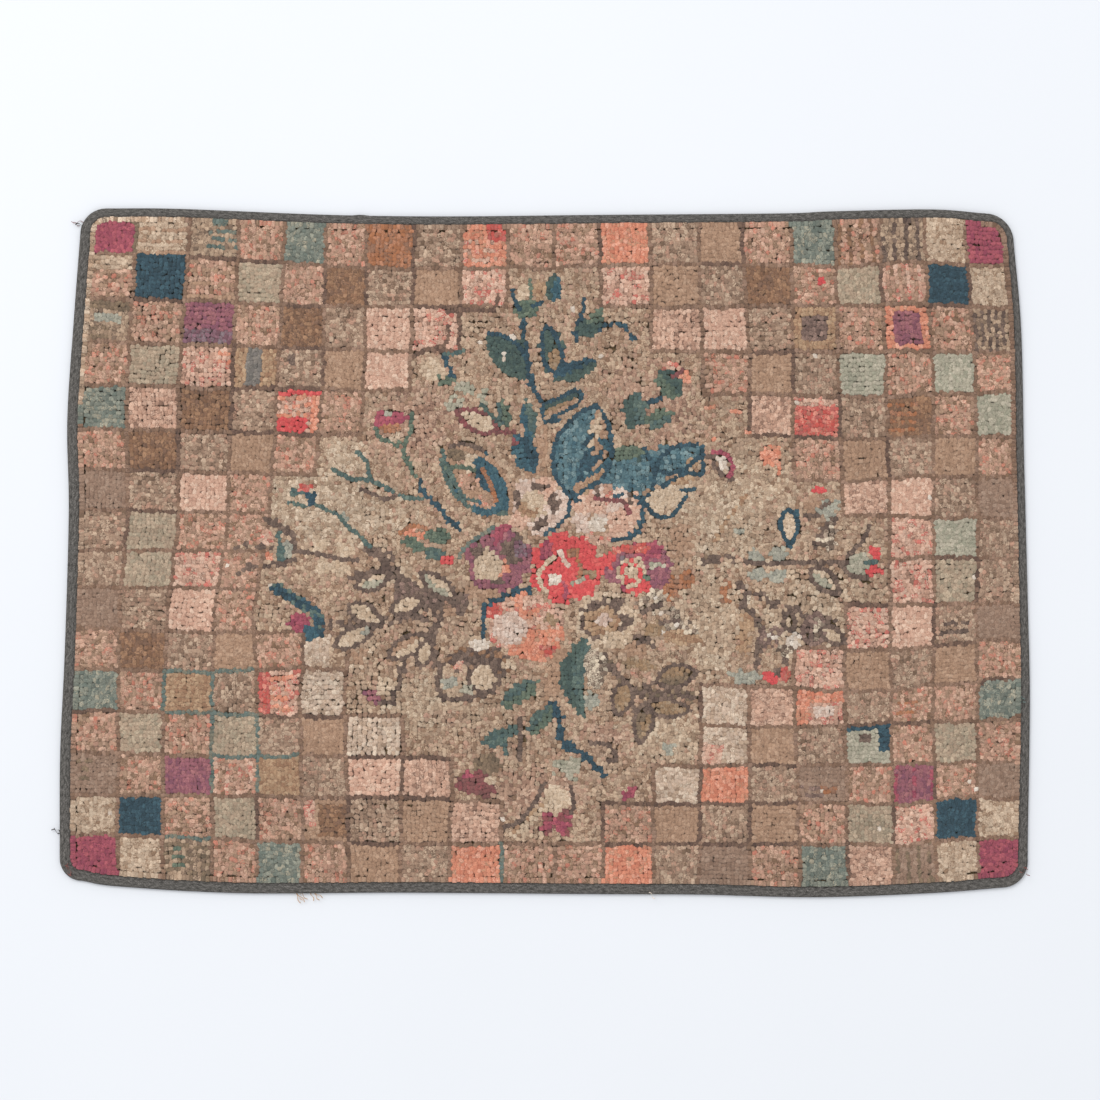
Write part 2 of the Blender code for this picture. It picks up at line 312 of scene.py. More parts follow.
# Each wool: how much its loops differ in lightness, and its strips' colours with their shares.
WOOLS = {
    "crimson": (0.10, {"#9a4f5b": 5, "#8a4454": 2, "#ac5b63": 2}),
    "dark crimson": (0.12, {"#7e514e": 4, "#8a4f50": 2, "#6d4a46": 1}),
    "plum": (0.10, {"#8e5a62": 5, "#7d4f5c": 2, "#a06a6c": 2}),
    "dusk plum": (0.15, {"#74525a": 3, "#84606a": 2, "#7d6c70": 2}),
    "navy": (0.08, {"#364b55": 5, "#2f4149": 2, "#405963": 2}),
    "blue": (0.14, {"#3f5a64": 4, "#4b666d": 2, "#35515b": 2}),
    "mottled blue": (0.18, {"#5d767b": 4, "#4c666d": 3, "#788b8c": 2, "#3f5a64": 1}),
    "deep teal": (0.12, {"#56655e": 4, "#4d5e5c": 3, "#67746a": 2}),
    "dark green": (0.12, {"#475651": 4, "#4f5d55": 3, "#404f4d": 1}),
    "green": (0.14, {"#5f6a5b": 4, "#6f7866": 2, "#515f54": 2}),
    "teal": (0.18, {"#7a7d72": 4, "#6a7168": 3, "#939283": 2, "#a59c88": 1}),
    "grey teal": (0.12, {"#9b9688": 4, "#8d8c80": 2, "#a9a493": 2}),
    "sage": (0.10, {"#a9927c": 4, "#9f907b": 3, "#baa58d": 2, "#92816c": 1}),
    "pale sage": (0.10, {"#a59d8a": 4, "#979380": 3, "#b5ab98": 2}),
    "moss": (0.14, {"#7d6956": 4, "#8c765f": 2, "#6f5f4e": 2}),
    "olive": (0.12, {"#977a5e": 4, "#8b7259": 2, "#9f8870": 2}),
    "beige": (0.12, {"#bda58e": 4, "#a98f78": 3, "#cdb69e": 2, "#92765f": 1}),
    "cream": (0.10, {"#c2aa91": 5, "#b39a81": 3, "#cfb9a1": 2}),
    "white": (0.08, {"#d2c2b2": 4, "#c3b09e": 2, "#ddd0c2": 2}),
    "tan": (0.08, {"#a7866e": 5, "#9a7a63": 3, "#b4947c": 2}),
    "ochre": (0.10, {"#a6866a": 4, "#96735a": 3, "#b5977a": 2}),
    "dun": (0.09, {"#947967": 5, "#896e5d": 3, "#a08674": 2}),
    "slate": (0.10, {"#77706a": 4, "#6a655f": 2, "#867d74": 2}),
    "brown": (0.17, {"#85634c": 4, "#775b4a": 3, "#9b775c": 3}),
    "bark": (0.16, {"#6b594f": 4, "#5b4a42": 2, "#7d685b": 2}),
    "rust": (0.12, {"#a06a4a": 4, "#8f6a55": 3, "#b07c60": 2}),
    "coral": (0.10, {"#d08a6f": 4, "#c47a61": 3, "#dba088": 2, "#b4876d": 1}),
    "salmon": (0.16, {"#c9a18c": 4, "#b8907b": 3, "#d2b09b": 3, "#c06e61": 2, "#8f6f5e": 1}),
    "peach": (0.15, {"#c6a08a": 4, "#b58e79": 4, "#d1ae98": 3, "#8f6f5e": 2}),
    "light pink": (0.08, {"#cba48e": 5, "#bd937e": 3, "#d9b9a3": 2}),
    "pale rose": (0.10, {"#cbb1a1": 4, "#bda08f": 2, "#d8c3b4": 2}),
    "pink tweed": (0.16, {"#b88f7a": 4, "#a0826c": 4, "#c9a48e": 2, "#80644f": 2, "#bd7a66": 1}),
    "scarlet": (0.08, {"#cc5151": 5, "#c2504f": 3, "#d4635e": 2}),
    "scarlet tweed": (0.12, {"#bd554c": 4, "#b3625a": 3, "#d18877": 2, "#a9705f": 1}),
    "grey tweed": (0.15, {"#a48873": 3, "#8f7461": 3, "#bba18a": 2, "#78604e": 1, "#b28a75": 1}),
    "dark stripe": (0.15, {"#b49a82": 3, "#9d836d": 3, "#7b6656": 2}),
    "speckle": (0.30, {"#c9b8a2": 3, "#6f5d50": 2, "#9b8877": 2}),
    "ground": (0.16, {"#a98e78": 4, "#947761": 3, "#bda38a": 3, "#7f634f": 1, "#b18b77": 1}),
    "cream ground": (0.14, {"#bba48d": 4, "#a58d76": 3, "#ceb9a2": 2, "#8e745f": 1}),
    "cream tweed": (0.14, {"#c2aa96": 4, "#b39983": 3, "#d1bda8": 2, "#98806c": 1}),
    "mauve": (0.16, {"#7d665c": 4, "#6b564e": 3, "#94796d": 2}),
    "pale ground": (0.14, {"#b79e86": 4, "#a58b74": 3, "#c9b49c": 2, "#8f7762": 1}),
    "pink ground": (0.16, {"#ac8b76": 4, "#9a7865": 3, "#bfa18b": 2, "#806354": 1}),
    "line": (0.14, {"#866a57": 4, "#775c4b": 3, "#957866": 3}),
    "dark line": (0.16, {"#6f574a": 3, "#5f4a40": 2, "#7d6353": 2}),
    "teal line": (0.14, {"#66716a": 4, "#7d7868": 2, "#57645e": 1}),
    "rim": (0.20, {"#b99d85": 4, "#a68a72": 3, "#d0b9a2": 3, "#7c6755": 1}),
}
# The lit tops of the loops look this much lighter than their wools' own colours, so those are divided by it.
LOOP_LIGHT = 1.21


def linear(code):
    """An sRGB hex colour as linear red, green and blue."""
    channels = [int(code[i : i + 2], 16) / 255 for i in (1, 3, 5)]
    return [c / 12.92 if c <= 0.04045 else ((c + 0.055) / 1.055) ** 2.4 for c in channels]


def smooth_between(before, start, end, after, t):
    """A point on the Catmull-Rom curve from start to end."""
    bend = 2 * before - 5 * start + 4 * end - after
    twist = 3 * start - before - 3 * end + after
    return 0.5 * (2 * start + (end - before) * t + bend * t * t + twist * t * t * t)


def smooth_line(places, steps=SMOOTH_STEPS):
    """Many points along the smooth curve through a few places, both ends included."""
    places = [Vector(p) for p in places]
    ends = [2 * places[0] - places[1], *places, 2 * places[-1] - places[-2]]
    fine = []
    for i in range(len(places) - 1):
        fine += [smooth_between(*ends[i : i + 4], t / steps) for t in range(steps)]
    return fine + [places[-1]]


def evenly(fine, steps):
    """steps + 1 points at even distances along a line of points."""
    lengths = [0.0]
    for a, b in zip(fine, fine[1:]):
        lengths.append(lengths[-1] + (b - a).length)
    points = []
    i = 0
    for step in range(steps + 1):
        wanted = lengths[-1] * step / steps
        while i < len(fine) - 2 and lengths[i + 1] < wanted:
            i += 1
        share = (wanted - lengths[i]) / max(lengths[i + 1] - lengths[i], 1e-9)
        points.append(fine[i].lerp(fine[i + 1], share))
    return points


def corner_arc(corner):
    """The points of one rounded corner, both ends included."""
    centre = Vector(corner["centre"])
    points = []
    for i in range(CORNER_STEPS + 1):
        angle = math.radians(corner["starts_at"] + 90 * i / CORNER_STEPS)
        points.append(centre + corner["radius"] * Vector((math.cos(angle), math.sin(angle))))
    return points


def outline():
    """The outer edge, counterclockwise from the corner at the foot's left, centred on the rug's middle."""
    points = []
    last = CORNERS["foot_left"]
    for edge, corner in ROUND_THE_RUG:
        start = corner_arc(last)[-1]
        arc = corner_arc(CORNERS[corner])
        fine = smooth_line([start, *EDGES[edge], arc[0]])
        points += evenly(fine, EDGE_STEPS[edge])[1:-1] + arc
        last = CORNERS[corner]
    low = Vector((min(p.x for p in points), min(p.y for p in points)))
    high = Vector((max(p.x for p in points), max(p.y for p in points)))
    return [p - (low + high) / 2 for p in points]


def outward(points, i):
    """The direction square to the outline at its point i, away from the rug."""
    along = (points[(i + 1) % len(points)] - points[i - 1]).normalized()
    return Vector((along.y, -along.x))


def front_lap(place, away):
    """How far the tape reaches over the face. It is folded about 2 mm narrower along the head and the right,
    and narrowest where those meet."""
    skew = TAPE_SKEW * max(away.x, 0.0) * place.y / TAPE_SKEW_REACH
    return TAPE_FRONT_LAP - TAPE_LEAN[0] * away.x - TAPE_LEAN[1] * away.y - skew


def pile_inset(place, away):
    """How far inside the rug's outline the pile starts."""
    return front_lap(place, away) + TAPE_TO_PILE


RIM = outline()


def add(tree, kind, settings=None, links=None):
    """Adds a node. Its settings are its properties or its inputs' values, and its links feed its inputs."""
    node = tree.nodes.new(kind)
    for name, value in (settings or {}).items():
        if isinstance(name, str) and hasattr(node, name):
            setattr(node, name, value)
        else:
            node.inputs[name].default_value = value
    for name, source in (links or {}).items():
        tree.links.new(source, node.inputs[name])
    return node


def new_material(name):
    """A material with an empty node tree but for its output and its Principled shader."""
    material = bpy.data.materials.new(name)
    material.use_nodes = True
    tree = material.node_tree
    return material, tree, tree.nodes["Principled BSDF"]


def along_line(rows, key):
    """A line's place at a key between its rows, which are (key, place) in rising order."""
    if key <= rows[0][0]:
        return rows[0][1]
    for (low, a), (high, b) in zip(rows, rows[1:]):
        if key <= high:
            return a + (b - a) * (key - low) / (high - low)
    return rows[-1][1]


SIDES = {"left": Vector((-1, 0)), "right": Vector((1, 0)), "head": Vector((0, 1)), "foot": Vector((0, -1))}


def side_line(edge):
    """The rows of the pile's side on an edge: (up, across), or (across, up) for the head and the foot."""
    upright = edge in ("left", "right")
    sign = -1 if edge in ("right", "head") else 1
    rows = []
    for p in sorted(EDGES[edge], key=lambda p: p[1] if upright else p[0]):
        inset = sign * pile_inset(Vector(p), SIDES[edge])
        key, place = (p[1], p[0]) if upright else p
        rows.append((key / STEP, (place + inset) / STEP))
    return rows


def inner_lines(table):
    """The rows of each line of a table, without the places where a line is interrupted."""
    count = len(next(iter(table.values())))
    return [sorted((k, row[i]) for k, row in table.items() if row[i] is not None) for i in range(count)]


UPRIGHT_LINES = [side_line("left"), *inner_lines(COLUMN_LINES), side_line("right")]
LEVEL_LINES = [side_line("head"), *inner_lines(ROW_LINES), side_line("foot")]


def between_lines(lines, number, key):
    """A place among the lines, where number may lie between two of them."""
    line = min(int(number), len(lines) - 2)
    low = along_line(lines[line], key)
    high = along_line(lines[line + 1], key)
    return low + (high - low) * (number - line)


def pattern_place(column, row):
    """Where a point of the block pattern lies on the rug, in steps. (0, 0) is at the head's left."""
    up = 0.0
    for _ in range(4):
        across = between_lines(UPRIGHT_LINES, column, up)
        up = between_lines(LEVEL_LINES, row, across)
    return Vector((across, up))


def block_chart():
    """The wool of each block, keyed by its row and column, both from 1 at the head's left."""
    chart = {}
    for row in range(1, ROWS + 1):
        letters = QUARTER[min(row, ROWS + 1 - row) - 1]
        for column in range(1, COLUMNS + 1):
            chart[row, column] = letters[min(column, COLUMNS + 1 - column) - 1]
    chart.update({(row, column): letter for row, column, letter in ODD_BLOCKS})
    return {place: BLOCK_WOOLS.get(letter, "ground") for place, letter in chart.items()}


CHART = block_chart()


def is_ground(row, column):
    """Whether a block's place is taken by the ground of the flowers."""
    first, last = GROUND_SPANS.get(row, (COLUMNS + 1, 0))
    return first <= column <= last


def block_wool(row, column, across, down):
    """The wool of a loop inside a block, by its number across and down."""
    wool = CHART[row, column]
    for at_row, at_column, other, (left, right), (top, bottom), apart in BLOCK_PARTS:
        if (at_row, at_column) == (row, column) and left <= across <= right and top <= down <= bottom:
            if (down - top) % apart == 0 and RANDOM.random() < (1.0 if apart == 1 else STRIPE_SHARE):
                wool = other
    for at_row, at_column, other, apart in UPRIGHT_STRIPES:
        if (at_row, at_column) == (row, column) and across % apart == 1 and RANDOM.random() < UPRIGHT_SHARE:
            wool = other
    return wool


def line_wool(way, number, block):
    """The wool of a line between blocks: way is down or across, and block counts along the line."""
    for at_way, at_number, (first, last), wool in LINE_TINTS:
        if at_way == way and at_number == number and first <= block <= last:
            return wool
    shade = noise.noise(Vector((number * 3.7, block * 2.3, 5.0 if way == "down" else 9.0)))
    return "dark line" if shade < -0.30 else "line"


# What is drawn on the ground: its washes of other wool, filled patches, the last on top, and lines of
# single loops.
WASHES = []
PATCHES = []
LINES = []


def paint(centre, reach, wool_at, layer=PATCHES):
    """Keeps a patch: wool_at gives the wool at a place, or None outside the patch, and reach bounds it."""
    layer.append((Vector(centre), reach, wool_at))


def ragged(place, size=7.0, seed=0.0):
    """A smooth wobble between about -1 and 1 that makes hand-drawn edges uneven."""
    return 1.6 * noise.noise(Vector((place.x / size, place.y / size, seed)))


def line(places, wool):
    """A line of single loops through these places."""
    LINES.append(([Vector(p) for p in places], wool))


def blob(centre, size, wool, turn=0, uneven=0.16, feather=0.0, layer=PATCHES):
    """An oval patch of one wool. size is its length and width, and turn how far it is turned, in degrees.
    feather is the share of its loops that is missing at its edge."""
    middle = Vector(centre)
    unturn = Matrix.Rotation(math.radians(-turn), 2)

    def wool_at(place):
        p = unturn @ (place - middle)
        reach = math.hypot(2 * p.x / size[0], 2 * p.y / size[1])
        if reach > 1 + uneven * ragged(place) or RANDOM.random() < feather * reach**2:
            return None
        return wool

    paint(centre, 0.7 * max(size), wool_at, layer)


def stroke(places, width, wool, other=None):
    """A branch more than one loop thick through these places. other is the wool of loops strewn in it."""
    route = smooth_line(places, 6)
    middle = sum(route, Vector((0, 0))) / len(route)
    reach = max((p - middle).length for p in route) + width

    def wool_at(place):
        away = min((p - place).length for p in route)
        if away > width / 2 * (1 + 0.2 * ragged(place)):
            return None
        strewn = other and noise.noise(Vector((place.x / 5, place.y / 5, 4.0))) > 0.16
        return other if strewn else wool

    paint(middle, reach, wool_at)


def rings(centre, *sizes_and_wools):
    """Round patches inside one another, the widest first."""
    for size, wool in sizes_and_wools:
        blob(centre, (size, size), wool, uneven=0.1)


def leaf(base, tip, width, wool, other=None, edge=None, far_edge=None, bend=0.0, fat=0.85):
    """A leaf from its base to its tip. other is its right half's wool, and edge the wool of its outline, or
    of its left side's where far_edge is given. bend sways its middle to the left, and the larger fat is, the
    nearer to the tip it is widest."""
    start = Vector(base)
    along = Vector(tip) - start
    length = along.length
    along.normalize()
    left = Vector((-along.y, along.x))

    def half_width(t):
        return width / 2 * max(math.sin(math.pi * t**fat), 0.0) ** 0.75

    def sway(t):
        return bend * math.sin(math.pi * t)

    def wool_at(place):
        t = (place - start).dot(along) / length
        if not 0 < t < 1:
            return None
        off = (place - start).dot(left) - sway(t)
        if abs(off) > half_width(t) * (1 + 0.1 * ragged(place)):
            return None
        return wool if off > 0 or other is None else other

    paint(start + along * length / 2, length / 2 + width + abs(bend), wool_at)
    if edge:
        for side, side_wool in ((1, edge), (-1, far_edge or edge)):
            rim = []
            for i in range(9):
                t = i / 8
                rim.append(start + along * length * t + left * (side * half_width(t) + sway(t)))
            line(rim, side_wool)


def rose(centre, size, petals, wools, first=0.0):
    """An open rose seen from above: rounded petals round its centre, each in one of the wools by turns. first
    turns the petals by that share of one."""
    middle = Vector(centre)

    def wool_at(place):
        p = place - middle
        x = 2 * p.x / size[0]
        y = 2 * p.y / size[1]
        petal = (math.atan2(y, x) / math.tau * petals + first) % petals
        swell = abs(math.sin(math.pi * petal))
        reach = math.hypot(x, y)
        if reach > 0.86 + 0.16 * swell**0.6 + 0.05 * ragged(place):
            return None
        return wools[int(petal) % len(wools)]

    paint(centre, 0.62 * max(size), wool_at)


def washes():
    """Parts of the ground that were hooked in lighter, pinker or browner wool, which blend into it."""
    for centre, size, wool, turn in [
        ((-215, 45), (200, 84), "cream ground", -12),
        ((-230, -105), (130, 60), "cream ground", 15),
        ((-130, 130), (120, 90), "pink ground", 30),
        ((-110, -150), (150, 70), "pale ground", 10),
        ((110, 150), (120, 90), "pink ground", -30),
        ((190, 40), (150, 130), "pale ground", 0),
        ((260, -60), (150, 90), "pale ground", 10),
        ((165, -60), (70, 130), "pale ground", 0),
        ((-10, -240), (120, 60), "pink ground", 0),
        ((120, -180), (110, 60), "pale ground", 0),
        ((-10, 100), (40, 90), "tan", 8),
        ((-62, 60), (60, 40), "tan", -35),
        ((10, -110), (34, 90), "tan", -8),
        ((-60, -40), (60, 24), "tan", -20),
        ((134, 6), (38, 60), "tan", 0),
        ((226, 30), (34, 54), "ground", 0),
        ((-145, -18), (60, 34), "pale ground", -30),
        ((-94, -73), (18, 34), "grey tweed", 0),
        ((180, -58), (24, 60), "pale ground", 0),
        ((166, -110), (40, 34), "cream ground", 0),
        ((183, 45), (26, 34), "cream ground", 20),
        ((166, 12), (20, 40), "cream ground", -20),
        ((161, -111), (30, 34), "pale ground", 0),
        ((-202, 94), (50, 44), "cream ground", 0),
        ((286, 44), (30, 22), "grey teal", 0),
        ((182, -36), (20, 26), "rust", 0),
        ((-187, -102), (22, 20), "tan", 0),
        ((22, -214), (34, 32), "pale sage", 0),
        ((-98, -165), (50, 20), "grey tweed", 0),
        ((60, -180), (60, 30), "pink ground", 0),
        ((137, -102), (24, 18), "grey tweed", 0),
    ]:
        blob(centre, size, wool, turn, uneven=0.3, feather=0.9, layer=WASHES)


def upper_spray():
    """The tall spray above the roses."""
    blob((-22, 260), (14, 20), "cream")
    blob((-6, 262), (14, 20), "ochre")
    stroke([(-21, 238), (-20, 212), (-17, 188), (-14, 172)], 6, "navy")
    line([(-14, 172), (-9, 160), (-4, 151), (-1, 136)], "navy")
    blob((-19, 244), (26, 17), "green")
    line([(-32, 262), (-31, 253), (-25, 243)], "navy")
    line([(-14, 251), (-14, 272)], "green")
    line([(-12, 246), (-2, 250)], "navy")
    leaf((6, 250), (12, 279), 17, "dark green", "blue")
    leaf((-16, 174), (-56, 219), 27, "dark green", "dark green", far_edge="navy", edge="dark green", fat=1.05)
    blob((-30, 207), (22, 16), "dark green")
    blob((-32, 217), (9, 7), "white")
    blob((8, 202), (46, 25), "dark green", turn=100)
    blob((10, 193), (24, 14), "olive", turn=95)
    oval = [(-3, 216), (0, 225), (6, 224), (13, 212), (18, 196), (14, 183), (6, 181), (-1, 192), (-3, 216)]
    line(oval, "navy")
    leaf((8, 175), (54, 194), 19, "navy", "dark green", bend=-2)
    stroke([(39, 251), (37, 236), (31, 222), (30, 209)], 5, "navy")
    leaf((31, 222), (58, 227), 18, "dark green")
    stroke([(55, 223), (63, 228), (73, 230), (81, 224), (88, 214)], 4.5, "navy")
    leaf((44, 230), (58, 243), 11, "green")
    blob((29, 243), (6, 5), "white")
    line([(-1, 147), (15, 155), (30, 162), (37, 158), (32, 148), (18, 140), (4, 133)], "navy")
    leaf((0, 138), (36, 156), 13, "olive", "tan")
    line([(2, 146), (18, 152), (30, 157)], "dark green")
    line([(0, 131), (10, 132), (14, 133)], "navy")
    leaf((-39, 124), (-44, 154), 15, "deep teal", "green")
    leaf((-12, 112), (-21, 154), 17, "blue", "deep teal")
    leaf((-10, 80), (-29, 120), 24, "blue", "navy")
    blob((-29, 112), (6, 5), "dark crimson")
    leaf((-48, 123), (-88, 141), 20, "cream", edge="dark crimson")
    stroke([(-50, 122), (-40, 121), (-31, 119)], 5, "dark crimson")
    line([(-64, 148), (-56, 140), (-48, 132)], "dark green")
    line([(-100, 199), (-90, 199), (-81, 202)], "deep teal")
    stroke([(-98, 197), (-97, 186), (-91, 174)], 5, "navy")
    blob((-99, 172), (20, 11), "green")
    blob((-80, 164), (20, 16), "pale sage", feather=0.4)
    blob((-91, 150), (22, 16), "pale sage", feather=0.4)
    blob((-62, 156), (12, 14), "pale sage", feather=0.4)
    blob((-111, 182), (26, 24), "cream", feather=0.3)
    blob((-40, 196), (5, 5), "white")
    line([(-130, 196), (-118, 203), (-104, 205), (-97, 212), (-96, 226)], "dark line")
    line([(-96, 240), (-80, 243), (-62, 242), (-50, 244), (-46, 258)], "dark line")


def big_leaves():
    """The three big leaves behind the roses."""
    leaf((-34, 40), (-103, 104), 50, "tan", "cream ground", edge="deep teal", far_edge="tan", fat=0.95)
    blob((-88, 98), (18, 14), "moss")
    blob((-85, 88), (12, 10), "pink tweed")
    blob((-73, 90), (13, 22), "cream")
    blob((-76, 71), (28, 16), "pink tweed", turn=-10)
    blob((-62, 50), (26, 12), "pink tweed", turn=-10)
    line([(-99, 84), (-84, 86), (-70, 83)], "green")
    leaf((-52, 62), (-66, 106), 21, "blue", "blue")
    leaf((-38, 42), (-54, 86), 21, "blue", "blue")
    blob((-62, 74), (11, 24), "navy", turn=20)
    line([(-62, 84), (-54, 68), (-49, 52)], "rust")
    line([(-94, 106), (-83, 108), (-71, 106), (-62, 102)], "bark")
    line([(-102, 102), (-99, 90), (-92, 76), (-84, 62)], "deep teal")
    stroke([(-102, 90), (-97, 80), (-90, 66), (-80, 56), (-68, 50)], 5, "deep teal", "blue")
    line([(-70, 46), (-58, 42), (-46, 46), (-38, 44)], "blue")
    line([(-70, 42), (-58, 38), (-46, 42)], "blue")
    leaf((25, 56), (52, 148), 58, "mottled blue", "tan", edge="navy", fat=0.9)
    leaf((24, 58), (44, 130), 26, "mottled blue")
    stroke([(30, 60), (36, 78), (40, 92), (46, 104)], 8, "navy", "blue")
    leaf((44, 106), (56, 140), 10, "cream")
    line([(38, 106), (47, 118)], "navy")
    stroke([(44, 84), (52, 94), (60, 106)], 6, "navy")
    line([(40, 76), (52, 82), (64, 92)], "blue")
    stroke([(58, 112), (64, 104), (66, 96)], 5, "blue")
    leaf((56, 78), (104, 100), 38, "green", "dark green", fat=0.9)
    leaf((54, 74), (112, 76), 40, "mottled blue", "mottled blue", far_edge="navy", fat=0.9)
    leaf((94, 66), (130, 108), 32, "mottled blue", "mottled blue", fat=0.9)
    leaf((112, 84), (160, 106), 24, "mottled blue", "mottled blue", edge="navy", far_edge="navy", fat=0.8)
    line([(100, 104), (106, 92), (110, 78), (108, 64)], "navy")
    line([(70, 56), (82, 58), (94, 54), (102, 46)], "navy")
    blob((148, 89), (9, 15), "ochre")
    line([(158, 106), (158, 92), (157, 78), (142, 80), (130, 74), (118, 66)], "navy")
    leaf((120, 66), (154, 72), 13, "ochre", "cream ground")
    stroke([(104, 56), (120, 62), (134, 62), (148, 64)], 5, "navy")
    leaf((100, 50), (142, 58), 22, "cream", "cream")
    line([(100, 50), (108, 40), (120, 35), (132, 42), (141, 56)], "navy")


def upper_right():
    """The small buds and leaves to the right of the tall spray."""
    blob((126, 184), (22, 13), "salmon")
    blob((140, 174), (12, 11), "coral")
    line([(128, 176), (133, 178), (137, 183)], "dark crimson")
    leaf((136, 156), (112, 182), 25, "green", "dark green")
    line([(104, 151), (116, 154)], "navy")
    leaf((90, 124), (90, 162), 25, "dark green", "deep teal")
    leaf((98, 130), (132, 139), 18, "green", "deep teal")
    for centre in [(166, 144), (191, 141), (203, 120), (168, 114)]:
        blob(centre, (10, 7), "coral", feather=0.5)


def left_spray():
    """The buds, thin stems and lozenge leaves to the left of the roses."""
    blob((-155, 134), (34, 22), "crimson")
    blob((-154, 124), (22, 8), "rust")
    blob((-158, 139), (13, 8), "grey teal", turn=-30)
    blob((-149, 115), (18, 10), "cream ground")
    line([(-169, 124), (-163, 114), (-152, 109), (-147, 107)], "green")
    line([(-133, 139), (-134, 122), (-140, 108)], "green")
    stroke([(-143, 110), (-140, 98), (-136, 88), (-129, 76)], 6, "green")
    stroke([(-124, 69), (-121, 59), (-110, 49), (-98, 36), (-86, 25)], 6, "navy")
    line([(-212, 84), (-194, 74), (-173, 72), (-155, 63), (-138, 55), (-122, 54)], "deep teal")
    line([(-188, 101), (-179, 92), (-175, 76)], "deep teal")
    line([(-183, 63), (-173, 59), (-159, 53), (-149, 57)], "bark")
    blob((-247, 61), (18, 11), "deep teal")
    blob((-239, 65), (15, 8), "scarlet tweed")
    blob((-233, 54), (11, 16), "navy")
    line([(-255, 50), (-246, 48), (-238, 47)], "deep teal")
    line([(-228, 48), (-206, 37), (-198, 28), (-186, 18), (-175, 6)], "deep teal")
    blob((-199, 35), (12, 12), "grey teal", feather=0.5)
    blob((-277, 14), (13, 14), "salmon")
    blob((-275, -4), (9, 10), "coral")
    blob((-257, 3), (13, 22), "grey teal", feather=0.3)
    stroke([(-266, 24), (-265, 8), (-265, -10)], 5, "deep teal")
    stroke([(-277, 31), (-265, 27), (-252, 16), (-249, 4)], 6, "bark")
    stroke([(-306, -18), (-287, -13), (-268, -12), (-251, -8)], 6, "bark", "ground")
    stroke([(-308, 6), (-294, 7), (-274, 5)], 6, "bark", "ground")
    line([(-247, 2), (-226, -1), (-204, -6), (-187, -7)], "bark")
    stroke([(-177, 4), (-160, -6), (-148, -22), (-136, -36), (-118, -43), (-96, -44)], 12, "bark")
    stroke([(-138, -40), (-112, -50), (-88, -50)], 26, "bark", "mauve")
    stroke([(-222, -71), (-183, -73), (-151, -67), (-120, -62), (-98, -54)], 9, "bark", "grey tweed")
    stroke([(-100, -60), (-110, -76), (-113, -92), (-108, -112)], 8, "bark")
    stroke([(-130, -92), (-140, -110), (-146, -131), (-153, -149), (-166, -150)], 6, "bark")
    leaf((-188, -34), (-154, -21), 18, "cream", "pale sage", edge="bark")
    leaf((-154, -58), (-120, -46), 17, "cream", edge="bark")
    leaf((-196, -52), (-162, -70), 18, "cream", edge="bark")
    leaf((-90, -45), (-124, -20), 18, "pale sage", "cream", edge="bark")
    leaf((-210, -94), (-168, -72), 17, "cream", edge="bark")
    blob((-177, -80), (14, 9), "grey teal", turn=25)
    leaf((-156, -104), (-118, -82), 18, "tan", "cream", edge="bark")
    leaf((-124, -114), (-116, -86), 15, "cream", edge="bark")
    blob((-96, -60), (12, 10), "tan")
    blob((-180, -22), (44, 8), "bark", turn=14, feather=0.5)
    stroke([(-160, -14), (-150, -8), (-156, 0)], 5, "bark", "grey tweed")
    blob((-226, 7), (19, 16), "cream", feather=0.2)
    blob((-197, 3), (18, 17), "cream", feather=0.2)
    blob((-221, -14), (16, 15), "cream", feather=0.2)
    blob((-204, -16), (17, 15), "cream", feather=0.2)
    stroke([(-267, -35), (-247, -48), (-228, -62), (-226, -80)], 11, "navy", "deep teal")
    blob((-244, -70), (23, 20), "crimson")
    blob((-233, -80), (14, 14), "blue")
    blob((-107, 17), (28, 14), "green")
    leaf((-114, 2), (-145, 14), 11, "green")
    blob((-108, -1), (22, 14), "deep teal")
    blob((-99, -7), (14, 13), "scarlet")
    blob((-132, 19), (22, 9), "coral", turn=-15)
    line([(-144, 20), (-132, 27), (-118, 24)], "rust")
    blob((-171, -144), (22, 13), "plum", turn=-20, feather=0.2)
    blob((-159, -133), (21, 19), "cream")


